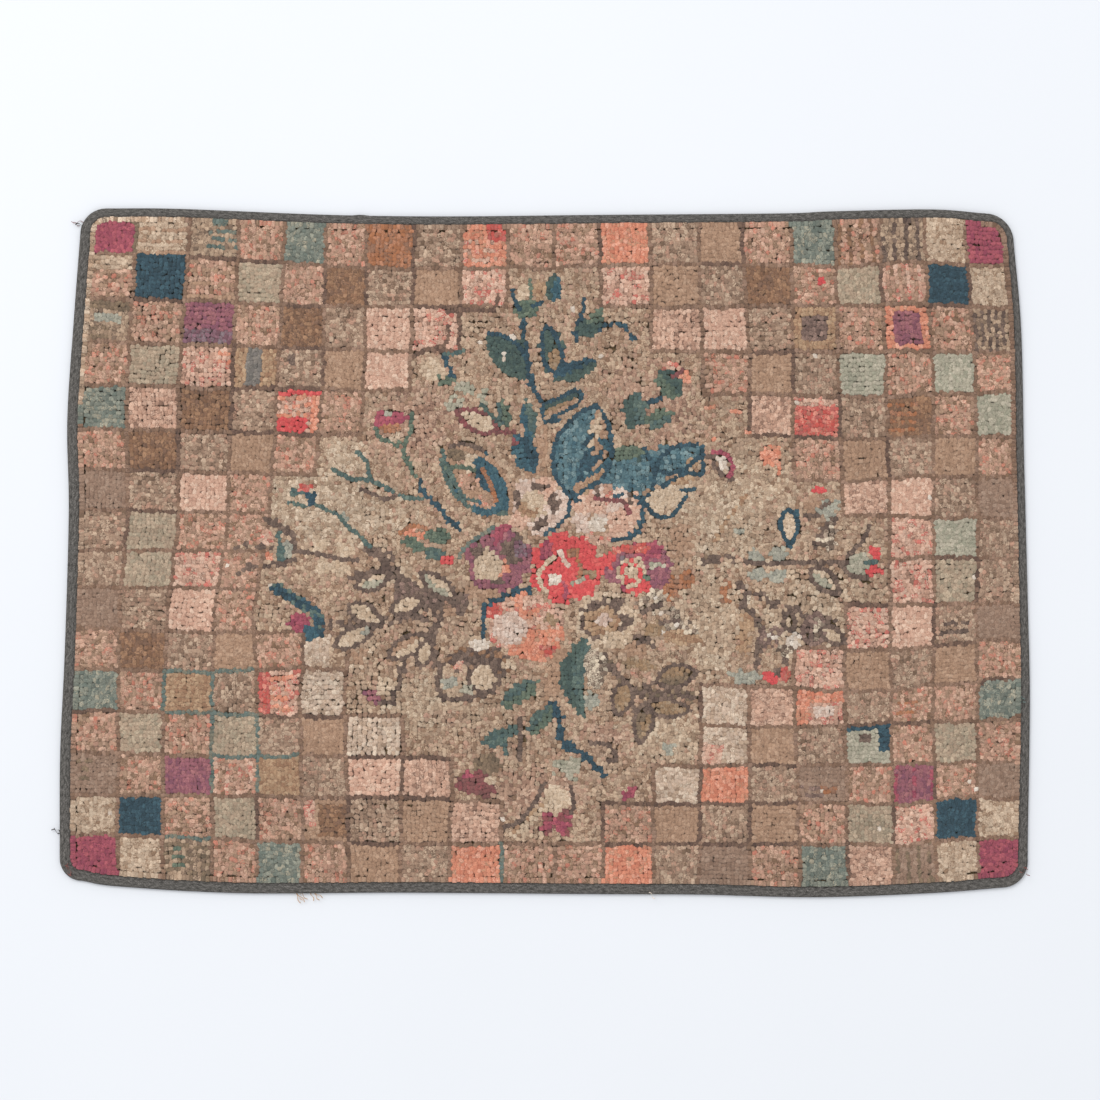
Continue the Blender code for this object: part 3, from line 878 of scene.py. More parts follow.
def right_spray():
    """The faded buds and leaves to the right of the roses."""
    blob((176, 89), (15, 19), "white")
    line([(168, 101), (178, 100), (185, 94), (188, 84), (184, 76)], "crimson")
    stroke([(163, 98), (170, 89), (175, 78), (183, 74)], 6, "bark", "grey tweed")
    blob((226, 98), (22, 22), "coral")
    blob((233, 86), (8, 14), "coral", feather=0.4)
    blob((273, 62), (16, 8), "scarlet")
    blob((266, 49), (16, 17), "tan")
    blob((266, 37), (16, 9), "bark", feather=0.4)
    line([(276, 46), (284, 50)], "bark")
    leaf((245, 6), (243, 44), 17, "cream", edge="navy", fat=1.3)
    stroke([(251, 40), (254, 28), (250, 18)], 5, "blue")
    for centre, turn in [((209, -3), 20), ((232, 0), -20), ((212, -21), -25), ((233, -22), 25)]:
        blob(centre, (18, 14), "grey teal", turn)
    blob((195, 21), (11, 9), "grey teal", feather=0.4)
    stroke([(161, -9), (171, -5), (181, -5), (204, -9)], 8, "bark", "ground")
    line([(202, -10), (232, -11), (254, -10), (302, -10)], "bark")
    blob((246, -20), (13, 11), "cream")
    stroke([(202, 60), (190, 42), (180, 28), (171, 13)], 4, "ochre")
    blob((282, 17), (22, 30), "speckle", feather=0.3)
    stroke([(270, 6), (280, 26), (290, 32)], 6, "bark", "speckle")
    leaf((266, -16), (294, -40), 19, "cream", "pale sage", edge="bark")
    blob((313, -11), (24, 24), "pale sage")
    blob((330, 0), (13, 12), "scarlet")
    blob((328, -18), (17, 10), "scarlet")
    line([(321, -10), (331, -9)], "deep teal")
    line([(324, 26), (316, 10), (302, -3)], "bark")
    line([(297, -13), (307, -23), (323, -25)], "bark")
    stroke([(195, -30), (203, -42), (200, -52), (207, -64), (216, -76)], 8, "bark", "speckle")
    stroke([(212, -40), (226, -51), (244, -56), (265, -63), (289, -69)], 7, "bark", "ground")
    blob((224, -82), (28, 24), "mauve", feather=0.5)
    blob((226, -84), (14, 6), "white", turn=-30)
    stroke([(214, -92), (212, -104), (210, -115)], 7, "bark")
    blob((241, -109), (8, 14), "bark")
    blob((240, -96), (16, 14), "speckle")
    leaf((244, -78), (244, -58), 12, "cream", edge="bark")
    blob((250, -87), (19, 15), "white", feather=0.2)
    leaf((266, -92), (272, -60), 22, "mauve", "speckle", edge="mauve")
    leaf((276, -76), (300, -90), 15, "cream", edge="bark")
    blob((226, -125), (15, 15), "scarlet")
    blob((239, -121), (11, 15), "scarlet tweed")
    blob((232, -119), (7, 9), "bark")
    blob((199, -124), (34, 13), "grey teal", feather=0.3)
    blob((200, -81), (18, 44), "ochre", feather=0.4)


def lower_spray():
    """The leaves, buds and stem below the roses."""
    leaf((16, -95), (6, -142), 15, "tan")
    leaf((42, -84), (40, -167), 26, "deep teal", "dark green", bend=-14, fat=0.75)
    leaf((-44, -153), (-4, -126), 19, "deep teal", "green")
    leaf((-16, -182), (9, -150), 18, "deep teal", "green")
    leaf((-62, -191), (-24, -175), 16, "deep teal")
    blob((-38, -195), (7, 13), "deep teal")
    stroke([(9, -150), (14, -162), (16, -176), (18, -188), (30, -197)], 8, "navy")
    stroke([(28, -195), (42, -205), (52, -215), (60, -223)], 6, "navy")
    line([(-25, -165), (-24, -186), (-25, -207)], "bark")
    blob((-31, -197), (10, 20), "grey tweed")
    blob((-58, -211), (28, 22), "moss")
    blob((-67, -231), (38, 25), "dark crimson")
    blob((-53, -225), (10, 8), "cream")
    blob((-78, -222), (9, 10), "crimson")
    blob((11, -247), (30, 30), "cream")
    leaf((0, -252), (-36, -283), 15, "cream", "ochre")
    line([(-1, -231), (-8, -246), (-18, -260), (-27, -269), (-40, -274)], "bark")
    line([(26, -234), (29, -250), (27, -260)], "bark")
    for end in [(-4, -258), (27, -257), (-4, -278), (24, -283), (30, -270)]:
        leaf((12, -270), end, 12, "dark crimson", "crimson")
    leaf((76, -246), (92, -233), 8, "crimson")
    line([(47, -190), (64, -193), (72, -205), (64, -208)], "bark")
    blob((57, -199), (18, 11), "grey tweed", turn=-20)
    stroke([(56, -100), (68, -116), (82, -132), (88, -150)], 8, "bark", "moss")
    line([(89, -150), (89, -172), (94, -190)], "bark")
    stroke([(86, -138), (110, -141), (134, -142), (148, -145)], 10, "bark", "moss")
    leaf((50, -92), (52, -140), 23, "speckle")
    blob((47, -147), (14, 19), "grey teal", feather=0.2)
    leaf((82, -130), (73, -162), 20, "olive", edge="bark")
    leaf((112, -128), (152, -118), 22, "olive", "moss", edge="bark")
    leaf((98, -153), (146, -157), 18, "olive", "olive", edge="bark")
    leaf((101, -150), (95, -190), 19, "olive", "moss", edge="bark")
    blob((94, -112), (32, 13), "olive", turn=-10)
    blob((92, -96), (26, 17), "tan")
    blob((96, -122), (26, 10), "pink tweed", feather=0.4)
    blob((94, -86), (40, 8), "bark", turn=-20, feather=0.3)
    blob((136, -84), (38, 16), "ochre")
    blob((109, -76), (26, 13), "olive")
    blob((104, -132), (16, 5), "bark")
    blob((136, -196), (42, 26), "pale ground", feather=0.3)
    blob((122, -196), (16, 13), "grey teal", feather=0.3)
    stroke([(98, -52), (108, -43), (120, -46)], 12, "speckle", "cream ground")
    stroke([(112, -60), (124, -58), (136, -64)], 12, "speckle", "cream ground")
    stroke([(126, -74), (136, -72), (146, -78)], 12, "speckle", "cream ground")
    line([(98, -60), (108, -54), (116, -52)], "bark")
    line([(116, -70), (124, -68), (134, -68)], "bark")
    blob((127, -35), (16, 24), "rust")
    blob((140, -28), (16, 20), "rust", feather=0.5)
    stroke([(-88, -108), (-70, -100), (-52, -104), (-42, -112)], 18, "bark", "brown")
    stroke([(-104, -112), (-107, -131), (-102, -143), (-88, -146), (-68, -143), (-50, -137)], 6, "bark")
    blob((-65, -92), (21, 10), "white")
    blob((-84, -112), (10, 12), "salmon")
    rings((-61, -125), (34, "bark"), (25, "cream"))
    blob((-95, -130), (17, 14), "grey teal")
    blob((-77, -136), (12, 12), "pale sage")
    blob((-38, -113), (14, 10), "cream")


def roses():
    """The eight roses at the middle of the rug, with their navy edges."""
    rose((62, -68), (62, 62), 6, ["cream", "cream ground", "cream"], first=0.3)
    blob((56, -68), (46, 40), "bark", turn=-20, feather=0.2)
    blob((66, -84), (26, 10), "cream", turn=15)
    blob((56, -68), (38, 26), "ochre")
    blob((58, -67), (17, 13), "pale rose")
    blob((82, -68), (14, 16), "bark")
    blob((45, -56), (13, 6), "bark")
    blob((72, -50), (13, 14), "bark")
    rose((-19, -72), (78, 64), 6, ["salmon", "coral", "salmon"], first=0.1)
    blob((-4, -96), (28, 25), "coral", turn=35)
    blob((4, -97), (20, 18), "scarlet tweed", feather=0.5)
    blob((0, -82), (28, 18), "coral")
    blob((-50, -59), (15, 15), "scarlet tweed")
    blob((-12, -50), (24, 14), "salmon")
    blob((-34, -76), (36, 32), "pale rose", turn=-20)
    stroke([(15, -70), (17, -82), (12, -94)], 5, "coral")
    blob((6, -67), (11, 10), "olive")
    line([(-61, -84), (-61, -66), (-61, -52)], "navy")
    stroke([(-61, -52), (-50, -48), (-38, -42), (-26, -38), (-14, -38)], 5.5, "navy")
    rose((-46, -7), (68, 64), 5, ["plum"], first=0.4)
    leaf((-50, 6), (-32, 28), 18, "crimson", "plum")
    blob((-66, 0), (18, 14), "bark")
    blob((-32, 3), (28, 30), "bark", turn=-35, feather=0.4)
    blob((-24, 4), (14, 20), "dusk plum")
    blob((-45, -33), (20, 10), "plum")
    blob((-47, -27), (15, 7), "bark")
    blob((-42, -14), (13, 18), "coral")
    blob((-57, -13), (27, 30), "cream")
    line([(-85, -4), (-80, 5), (-66, 16), (-52, 25)], "teal line")
    rose((-7, 47), (62, 58), 7, ["pale rose", "light pink", "pale rose"], first=0.2)
    blob((-27, 54), (10, 18), "bark")
    blob((-5, 66), (20, 7), "bark")
    blob((9, 51), (10, 20), "bark")
    blob((-4, 30), (18, 9), "bark", turn=35)
    blob((-12, 47), (28, 27), "cream")
    blob((-16, 43), (22, 15), "ochre")
    blob((-12, 46), (10, 7), "cream")
    stroke([(24, 58), (25, 42), (16, 30), (2, 19)], 4.5, "navy")
    leaf((28, 56), (60, 84), 15, "tan", "ochre")
    rose((61, 39), (70, 60), 7, ["light pink", "pale rose", "salmon"], first=0.5)
    blob((53, 64), (14, 14), "pale rose")
    blob((88, 48), (14, 24), "light pink")
    blob((55, 14), (28, 12), "salmon")
    line([(50, 55), (60, 53), (70, 52), (80, 50), (84, 40)], "dark crimson")
    line([(84, 58), (86, 50)], "bark")
    line([(52, 66), (53, 58)], "bark")
    blob((53, 28), (24, 20), "tan", feather=0.4)
    blob((52, 29), (19, 17), "white")
    stroke([(97, 56), (99, 42), (96, 30), (91, 20), (80, 14), (70, 12)], 5.5, "navy")
    line([(38, 62), (46, 67), (54, 71)], "navy")
    blob((34, 54), (10, 5), "navy")
    rose((94, -14), (68, 52), 6, ["plum", "crimson", "plum"], first=0.2)
    blob((84, 4), (40, 11), "scarlet tweed", turn=4)
    blob((65, -7), (11, 18), "scarlet")
    blob((95, -35), (28, 11), "scarlet", turn=12)
    blob((112, 1), (14, 16), "crimson")
    blob((113, -13), (13, 8), "pale sage", feather=0.4)
    blob((78, -8), (10, 8), "dusk plum")
    rings((86, -19), (31, "cream"), (22, "scarlet"), (14, "cream"))
    blob((102, -24), (7, 9), "green")
    rose((22, -15), (76, 68), 7, ["scarlet"], first=0.5)
    blob((3, 0), (15, 20), "crimson")
    blob((46, -21), (15, 8), "olive")
    blob((30, -1), (12, 7), "rust")
    line([(9, -4), (0, -12), (-6, -22), (-4, -31), (2, -39)], "cream")
    line([(15, 2), (19, -7), (24, -13)], "pale rose")
    line([(28, -31), (34, -29), (39, -26)], "pale sage")
    line([(33, -8), (36, -16), (34, -24)], "rust")
    line([(18, -30), (22, -38), (20, -44)], "crimson")
    blob((9, -26), (11, 11), "white")


def draw_flowers():
    """Everything that is drawn on the ground, the lowest first."""
    washes()
    upper_spray()
    upper_right()
    left_spray()
    right_spray()
    lower_spray()
    big_leaves()
    roses()


draw_flowers()


def topmost(layer, place):
    """The wool of the topmost patch at a place, or None."""
    for centre, reach, wool_at in reversed(layer):
        if abs(place.x - centre.x) < reach and abs(place.y - centre.y) < reach:
            wool = wool_at(place)
            if wool:
                return wool
    return None


class Hooking:
    """The loops as they are hooked, in millimetres, each with its direction and its wool."""

    CELL = 5.0

    def __init__(self):
        self.loops = []
        self.taken = {}

    def nearest(self, place):
        """The nearest loop of a line, with its distance, among those within a cell or so."""
        column = math.floor(place.x / self.CELL)
        row = math.floor(place.y / self.CELL)
        best = (None, 2 * self.CELL)
        for i in (column - 1, column, column + 1):
            for j in (row - 1, row, row + 1):
                for other in self.taken.get((i, j), ()):
                    gap = (other - place).length
                    if gap < best[1]:
                        best = (other, gap)
        return best

    def hook(self, place, turn, wool, keep=False):
        """Adds a loop. keep makes later loops stay clear of it."""
        self.loops.append((place, turn, wool))
        if keep:
            cell = (math.floor(place.x / self.CELL), math.floor(place.y / self.CELL))
            self.taken.setdefault(cell, []).append(place)

    def along(self, points, wool):
        """Loops along a line of points, one behind the other, but none that would meet an earlier line."""
        length = sum((b - a).length for a, b in zip(points, points[1:]))
        steps = max(1, round(length / LOOP_PITCH))
        even = evenly(points, steps)
        for i, place in enumerate(even):
            ahead = even[min(i + 1, steps)] - even[max(i - 1, 0)]
            if self.nearest(place)[1] > 0.7 * LOOP_PITCH:
                self.hook(place, math.atan2(ahead.y, ahead.x), wool, keep=True)

    def fill(self, place, turn, wool):
        """A loop of a filled part, which gives way to the loops of lines."""
        other, gap = self.nearest(place)
        if gap < 0.62 * LOOP_PITCH:
            return
        if gap < 0.95 * LOOP_PITCH:
            place = other + (place - other) * (0.95 * LOOP_PITCH / gap)
        self.hook(place, turn, wool)


def settled(loops, kept):
    """The loops after they push their neighbours apart. The first ones, the rim's and the lines', stay."""
    places = [place.copy() for place, _, _ in loops]
    for _ in range(SETTLING_ROUNDS):
        cells = {}
        for i, place in enumerate(places):
            cells.setdefault((int(place.x // SETTLED_GAP), int(place.y // SETTLED_GAP)), []).append(i)
        pushed = []
        for i in range(kept, len(places)):
            place = places[i]
            column = int(place.x // SETTLED_GAP)
            row = int(place.y // SETTLED_GAP)
            push = Vector((0.0, 0.0))
            for cell in ((column + a, row + b) for a in (-1, 0, 1) for b in (-1, 0, 1)):
                for j in cells.get(cell, ()):
                    apart = place - places[j]
                    gap = apart.length
                    if 0 < gap < SETTLED_GAP:
                        push += apart * (SETTLING_PUSH * (SETTLED_GAP - gap) / gap)
            pushed.append(push)
        for i, push in enumerate(pushed, kept):
            places[i] += push
    return [(place, turn, wool) for place, (_, turn, wool) in zip(places, loops)]


def inside_rim(place, clear):
    """Whether a place in millimetres lies further than clear inside the pile's edge."""
    nearest = min(range(0, len(RIM), 4), key=lambda i: (RIM[i] - place).length_squared)
    for i in range(nearest - 4, nearest + 5):
        away = outward(RIM, i % len(RIM))
        if (RIM[i % len(RIM)] - place).dot(away) < pile_inset(place, away) + clear:
            return False
    return True


def hook_rim(hooking):
    """The first row of loops, right beside the tape."""
    ring = []
    for i, point in enumerate(RIM):
        away = outward(RIM, i)
        ring.append(point - away * (pile_inset(point, away) + 0.5 * LOOP_PITCH))
    hooking.along([*ring, ring[0]], "rim")


def hook_lines(hooking):
    """The drawn lines, the topmost first, for a later line gives way to an earlier one."""
    for places, wool in reversed(LINES):
        hooking.along([p * STEP for p in smooth_line(places, 8)], wool)


def wander(place, size, amount, seed):
    """How far a place strays, in millimetres, smoothly over the rug."""
    spot = Vector((place.x / size, place.y / size, seed))
    return Vector((noise.noise(spot), noise.noise(spot + Vector((31.7, 17.3, 0.0))))) * amount


def hook_pattern(hooking):
    """The blocks with the lines between them, and the ground of the flowers."""
    for across in range(COLUMNS * LOOPS_ACROSS + 1):
        for down in range(ROWS * LOOPS_DOWN + 1):
            column = min(across // LOOPS_ACROSS + 1, COLUMNS)
            row = min(down // LOOPS_DOWN + 1, ROWS)
            on_upright = across % LOOPS_ACROSS == 0
            on_level = down % LOOPS_DOWN == 0
            place = pattern_place(across / LOOPS_ACROSS, down / LOOPS_DOWN) * STEP
            place += sum((wander(place, *stray) for stray in ROW_STRAYS), Vector((0, 0)))
            if abs(place.x) > SAFE_REACH[0] or abs(place.y) > SAFE_REACH[1]:
                if not inside_rim(place, 1.15 * LOOP_PITCH):
                    continue
            beside = column - 1 if on_upright else column
            above = row - 1 if on_level else row
            open_ground = all(is_ground(r, c) for r in (row, above) for c in (column, beside))
            if open_ground:
                place += wander(place, *GROUND_STRAY)
                wool = topmost(PATCHES, place / STEP) or topmost(WASHES, place / STEP) or "ground"
                turn = 3.0 * noise.noise(Vector((place.x / 40, place.y / 40, 2.0)))
            elif on_upright and 0 < across < COLUMNS * LOOPS_ACROSS:
                wool = line_wool("down", column - 1, row)
                turn = math.pi / 2
            elif on_level and 0 < down < ROWS * LOOPS_DOWN:
                wool = line_wool("across", row - 1, column)
                turn = 0.0
            else:
                wool = block_wool(row, column, across % LOOPS_ACROSS, down % LOOPS_DOWN)
                turn = 0.0 if (row + column) % 3 else math.pi / 2
            if not open_ground:
                wool = topmost(PATCHES, place / STEP) or wool
            jitter = Vector((RANDOM.gauss(0, LOOP_JITTER), RANDOM.gauss(0, LOOP_JITTER)))
            hooking.fill(place + jitter, turn + RANDOM.gauss(0, LOOP_SWAY), wool)


def match_rim(hooking, rim, lined):
    """Gives the rim's loops the wool of the blocks beside them, but for a pale row round the head's left
    corner and a brown one down the right side's upper half."""
    tree = kdtree.KDTree(len(hooking.loops) - lined)
    for i, (place, _, _) in enumerate(hooking.loops[lined:]):
        tree.insert(place.to_3d(), i)
    tree.balance()
    for i in range(rim):
        place, turn, _ = hooking.loops[i]
        if place.x > BROWN_RIM_FROM[0] and place.y > BROWN_RIM_FROM[1]:
            hooking.loops[i] = (place, turn, "line")
        elif place.x > PALE_RIM_TO[0] or place.y < PALE_RIM_TO[1]:
            beside = tree.find(place.to_3d())[1]
            hooking.loops[i] = (place, turn, hooking.loops[lined + beside][2])


def pile_height(place):
    """The height of the pile's face over a place, both in millimetres."""
    lump = noise.noise(Vector((place.x, place.y, 0.0)) / PILE_LUMP_SIZE)
    return PILE_TOP + PILE_UNEVENNESS * lump


def one_loop():
    """A strip of wool bent into an arch. Its long edges curl down, and its top lies level with the origin."""
    bm = bmesh.new()
    bmesh.ops.create_grid(bm, x_segments=5, y_segments=2, size=1.0)
    flat = bm.loops.layers.uv.new("OFBake")
    for face in bm.faces:
        for corner in face.loops:
            place = corner.vert.co
            corner[flat].uv = (0.5 + 0.44 * place.x, 0.5 + 0.44 * place.y)
    for vert in bm.verts:
        angle = math.pi * (vert.co.x + 1) / 2
        curl = vert.co.y ** 2
        reach = math.copysign(abs(math.cos(angle)) ** 0.8, math.cos(angle)) * (1 - 0.08 * curl)
        rise = max(math.sin(angle), 0.0) ** 0.42 - 1
        vert.co = Vector((
            -reach * LOOP_LENGTH / 2,
            vert.co.y * LOOP_WIDTH / 2,
            rise * LOOP_HEIGHT - curl * LOOP_CURL,
        ))
    bmesh.ops.recalc_face_normals(bm, faces=bm.faces)
    bmesh.ops.transform(bm, matrix=Matrix.Scale(MM, 4), verts=bm.verts)
    mesh = bpy.data.meshes.new("loop")
    bm.to_mesh(mesh)
    bm.free()
    mesh.shade_smooth()
    return bpy.data.objects.new("loop", mesh)


def copies_group(shape, cells):
    """Geometry nodes that put a copy of a shape on each point, turned and sized as the point's attributes
    say. Each copy's own part of the bake is one cell of a square of cells."""
    tree = bpy.data.node_groups.new("copies of " + shape.name, "GeometryNodeTree")
    tree.interface.new_socket("Geometry", in_out="INPUT", socket_type="NodeSocketGeometry")
    tree.interface.new_socket("Geometry", in_out="OUTPUT", socket_type="NodeSocketGeometry")
    points = add(tree, "NodeGroupInput")
    copied = add(tree, "GeometryNodeObjectInfo", {"Object": shape})
    attributes = {}
    for name in ("turn", "size", "cell", "OFBake"):
        found = add(tree, "GeometryNodeInputNamedAttribute", {"data_type": "FLOAT_VECTOR", "Name": name})
        attributes[name] = found.outputs["Attribute"]
    feeds = {
        "Points": points.outputs["Geometry"],
        "Instance": copied.outputs["Geometry"],
        "Rotation": attributes["turn"],
        "Scale": attributes["size"],
    }
    copies = add(tree, "GeometryNodeInstanceOnPoints", links=feeds)
    real = add(tree, "GeometryNodeRealizeInstances", links={"Geometry": copies.outputs["Instances"]})
    feeds = {0: attributes["OFBake"], 1: attributes["cell"]}
    moved = add(tree, "ShaderNodeVectorMath", {"operation": "ADD"}, feeds)
    fit = {"operation": "SCALE", "Scale": 1 / cells}
    fitted = add(tree, "ShaderNodeVectorMath", fit, {0: moved.outputs[0]})
    kept = {"data_type": "FLOAT2", "domain": "CORNER", "Name": "OFBake"}
    feeds = {"Geometry": real.outputs["Geometry"], "Value": fitted.outputs[0]}
    stored = add(tree, "GeometryNodeStoreNamedAttribute", kept, feeds)
    add(tree, "NodeGroupOutput", links={"Geometry": stored.outputs["Geometry"]})
    return tree


def copies_of(name, group, places, turns, sizes, colours):
    """One mesh of a shape's copies. places are in metres, and colours gives every copy's named colours."""
    mesh = bpy.data.meshes.new(name)
    mesh.vertices.add(len(places))
    mesh.vertices.foreach_set("co", [c for place in places for c in place])
    cells = [(i % CELLS_ACROSS, i // CELLS_ACROSS, 0.0) for i in range(len(places))]
    for attribute, values in (("turn", turns), ("size", sizes), ("cell", cells)):
        layer = mesh.attributes.new(attribute, "FLOAT_VECTOR", "POINT")
        layer.data.foreach_set("vector", [c for value in values for c in value])
    for attribute, values in colours.items():
        layer = mesh.attributes.new(attribute, "FLOAT_COLOR", "POINT")
        layer.data.foreach_set("color", [c for value in values for c in (*value, 1.0)])
    seeds = bpy.data.objects.new(name + "_seeds", mesh)
    bpy.context.scene.collection.objects.link(seeds)
    seeds.modifiers.new("copies", "NODES").node_group = group
    depsgraph = bpy.context.evaluated_depsgraph_get()
    made = bpy.data.meshes.new_from_object(
        seeds.evaluated_get(depsgraph), preserve_all_data_layers=True, depsgraph=depsgraph
    )
    bpy.data.objects.remove(seeds)
    for attribute in ("turn", "size", "cell"):
        made.attributes.remove(made.attributes[attribute])
    made.materials.clear()
    obj = bpy.data.objects.new(name, made)
    bpy.context.scene.collection.objects.link(obj)
    return obj


PALETTE = {
    name: (spread, [linear(code) for code in shares], list(shares.values()))
    for name, (spread, shares) in WOOLS.items()
}


def two_strands(wool):
    """The colours of the two strands that are twisted together in one loop of a wool."""
    spread, colours, shares = PALETTE[wool]
    light = (1 + RANDOM.uniform(-spread, spread)) / LOOP_LIGHT
    return [[min(c * light, 1.0) for c in strand] for strand in RANDOM.choices(colours, shares, k=2)]


def hooked_pile(material):
    """All the loops, in one piece for each course across the rug."""
    hooking = Hooking()
    hook_rim(hooking)
    rim = len(hooking.loops)
    hook_lines(hooking)
    lined = len(hooking.loops)
    hook_pattern(hooking)
    match_rim(hooking, rim, lined)
    all_loops = settled(hooking.loops, lined)
    loop = one_loop()
    group = copies_group(loop, CELLS_ACROSS)
    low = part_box("hooked_pile")[0].y / MM
    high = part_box("hooked_pile")[1].y / MM
    courses = [[] for _ in range(COURSES)]
    for hooked in all_loops:
        course = int(COURSES * (high - hooked[0].y) / (high - low))
        courses[min(max(course, 0), COURSES - 1)].append(hooked)
    pieces = []
    for number, loops in enumerate(courses, 1):
        places = []
        turns = []
        sizes = []
        strands = []
        for place, turn, wool in loops:
            height = pile_height(place) + RANDOM.uniform(-1, 1) * LOOP_HEIGHT_JITTER
            places.append((place.x * MM, place.y * MM, height * MM))
            tilts = [math.radians(RANDOM.gauss(0, LOOP_TILT / 2)) for _ in range(2)]
            turns.append((*tilts, turn))
            plump = (RANDOM.uniform(0.9, 1.12), RANDOM.uniform(0.88, 1.1))
            sizes.append((*plump, (height - LOOP_FOOT) / LOOP_HEIGHT))
            strands.append(two_strands("white" if RANDOM.random() < WHITE_FLECKS else wool))
        colours = {"wool_a": [s[0] for s in strands], "wool_b": [s[1] for s in strands]}
        piece = copies_of(f"pile_course_{number:02d}", group, places, turns, sizes, colours)
        piece.data.materials.append(material)
        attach(piece, "root")
        pieces.append(piece)
    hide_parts("hooked_pile")
    bpy.data.objects.remove(loop)
    return pieces


def wool_material():
    """Hooked wool strips and yarn: matte, marled of two strands, fuzzy, with painted shade and dust between
    the loops.
    """
    material, tree, shader = new_material("hooked marled wool")
    place = add(tree, "ShaderNodeTexCoord").outputs["Object"]
    first = add(tree, "ShaderNodeAttribute", {"attribute_name": "wool_a"})
    second = add(tree, "ShaderNodeAttribute", {"attribute_name": "wool_b"})
    # The strands change about every 1.4 mm, as in a loosely spun marl.
    marl = add(tree, "ShaderNodeTexNoise", {"Scale": 1 / (1.4 * MM), "Detail": 1.0}, {"Vector": place})
    change = {"From Min": 0.42, "From Max": 0.58}
    share = add(tree, "ShaderNodeMapRange", change, {"Value": marl.outputs["Fac"]})
    feeds = {0: share.outputs["Result"], 6: first.outputs["Color"], 7: second.outputs["Color"]}
    strands = add(tree, "ShaderNodeMix", {"data_type": "RGBA"}, feeds)
    # Painted shade, with some dust, between the loops: the colour darkens from their feet to just under their
    # tops.
    height = add(tree, "ShaderNodeSeparateXYZ", links={0: place})
    depth = {"From Min": 4.5 * MM, "From Max": 7.2 * MM, "To Min": 0.8, "To Max": 1.0}
    shade = add(tree, "ShaderNodeMapRange", depth, {"Value": height.outputs["Z"]})
    # Wear and dust change the whole face a little, over some 70 mm.
    dust = add(tree, "ShaderNodeTexNoise", {"Scale": 1 / (70 * MM), "Detail": 3.0}, {"Vector": place})
    worn = {"From Min": 0.35, "From Max": 0.65, "To Min": 0.94, "To Max": 1.06}
    wear = add(tree, "ShaderNodeMapRange", worn, {"Value": dust.outputs["Fac"]})
    both = {0: shade.outputs["Result"], 1: wear.outputs["Result"]}
    light = add(tree, "ShaderNodeMath", {"operation": "MULTIPLY"}, both)
    # Slubs and burrs in the spun wool, about 1 mm across, are lighter or darker than the rest.
    slubs = add(tree, "ShaderNodeTexNoise", {"Scale": 1 / (1.0 * MM), "Detail": 2.0}, {"Vector": place})
    spun = {"From Min": 0.34, "From Max": 0.66, "To Min": 0.8, "To Max": 1.2}
    grain = add(tree, "ShaderNodeMapRange", spun, {"Value": slubs.outputs["Fac"]})
    both = {0: light.outputs[0], 1: grain.outputs["Result"]}
    light = add(tree, "ShaderNodeMath", {"operation": "MULTIPLY"}, both)
    feeds = {0: strands.outputs[2], "Scale": light.outputs[0]}
    colour = add(tree, "ShaderNodeVectorMath", {"operation": "SCALE"}, feeds)
    # Fibres about 0.3 mm thick stand up as fuzz.
    fibre = add(tree, "ShaderNodeTexNoise", {"Scale": 1 / (0.35 * MM), "Detail": 2.0}, {"Vector": place})
    raised = {"Strength": 0.5, "Distance": 0.25 * MM}
    bump = add(tree, "ShaderNodeBump", raised, {"Height": fibre.outputs["Fac"]})
    tree.links.new(colour.outputs[0], shader.inputs["Base Color"])
    tree.links.new(bump.outputs["Normal"], shader.inputs["Normal"])
    shader.inputs["Roughness"].default_value = 0.95
    shader.inputs["Specular IOR Level"].default_value = 0.15
    shader.inputs["Sheen Weight"].default_value = 0.15
    shader.inputs["Sheen Roughness"].default_value = 0.6
    return material


def two_tones(tree, noise_node, low, high):
    """A ramp between two colours on a noise. low and high are each (place on the noise, hex colour)."""
    ramp = add(tree, "ShaderNodeValToRGB", links={"Fac": noise_node.outputs["Fac"]})
    for stop, (place, code) in zip(ramp.color_ramp.elements, (low, high)):
        stop.position = place
        stop.color = (*linear(code), 1.0)
    return ramp


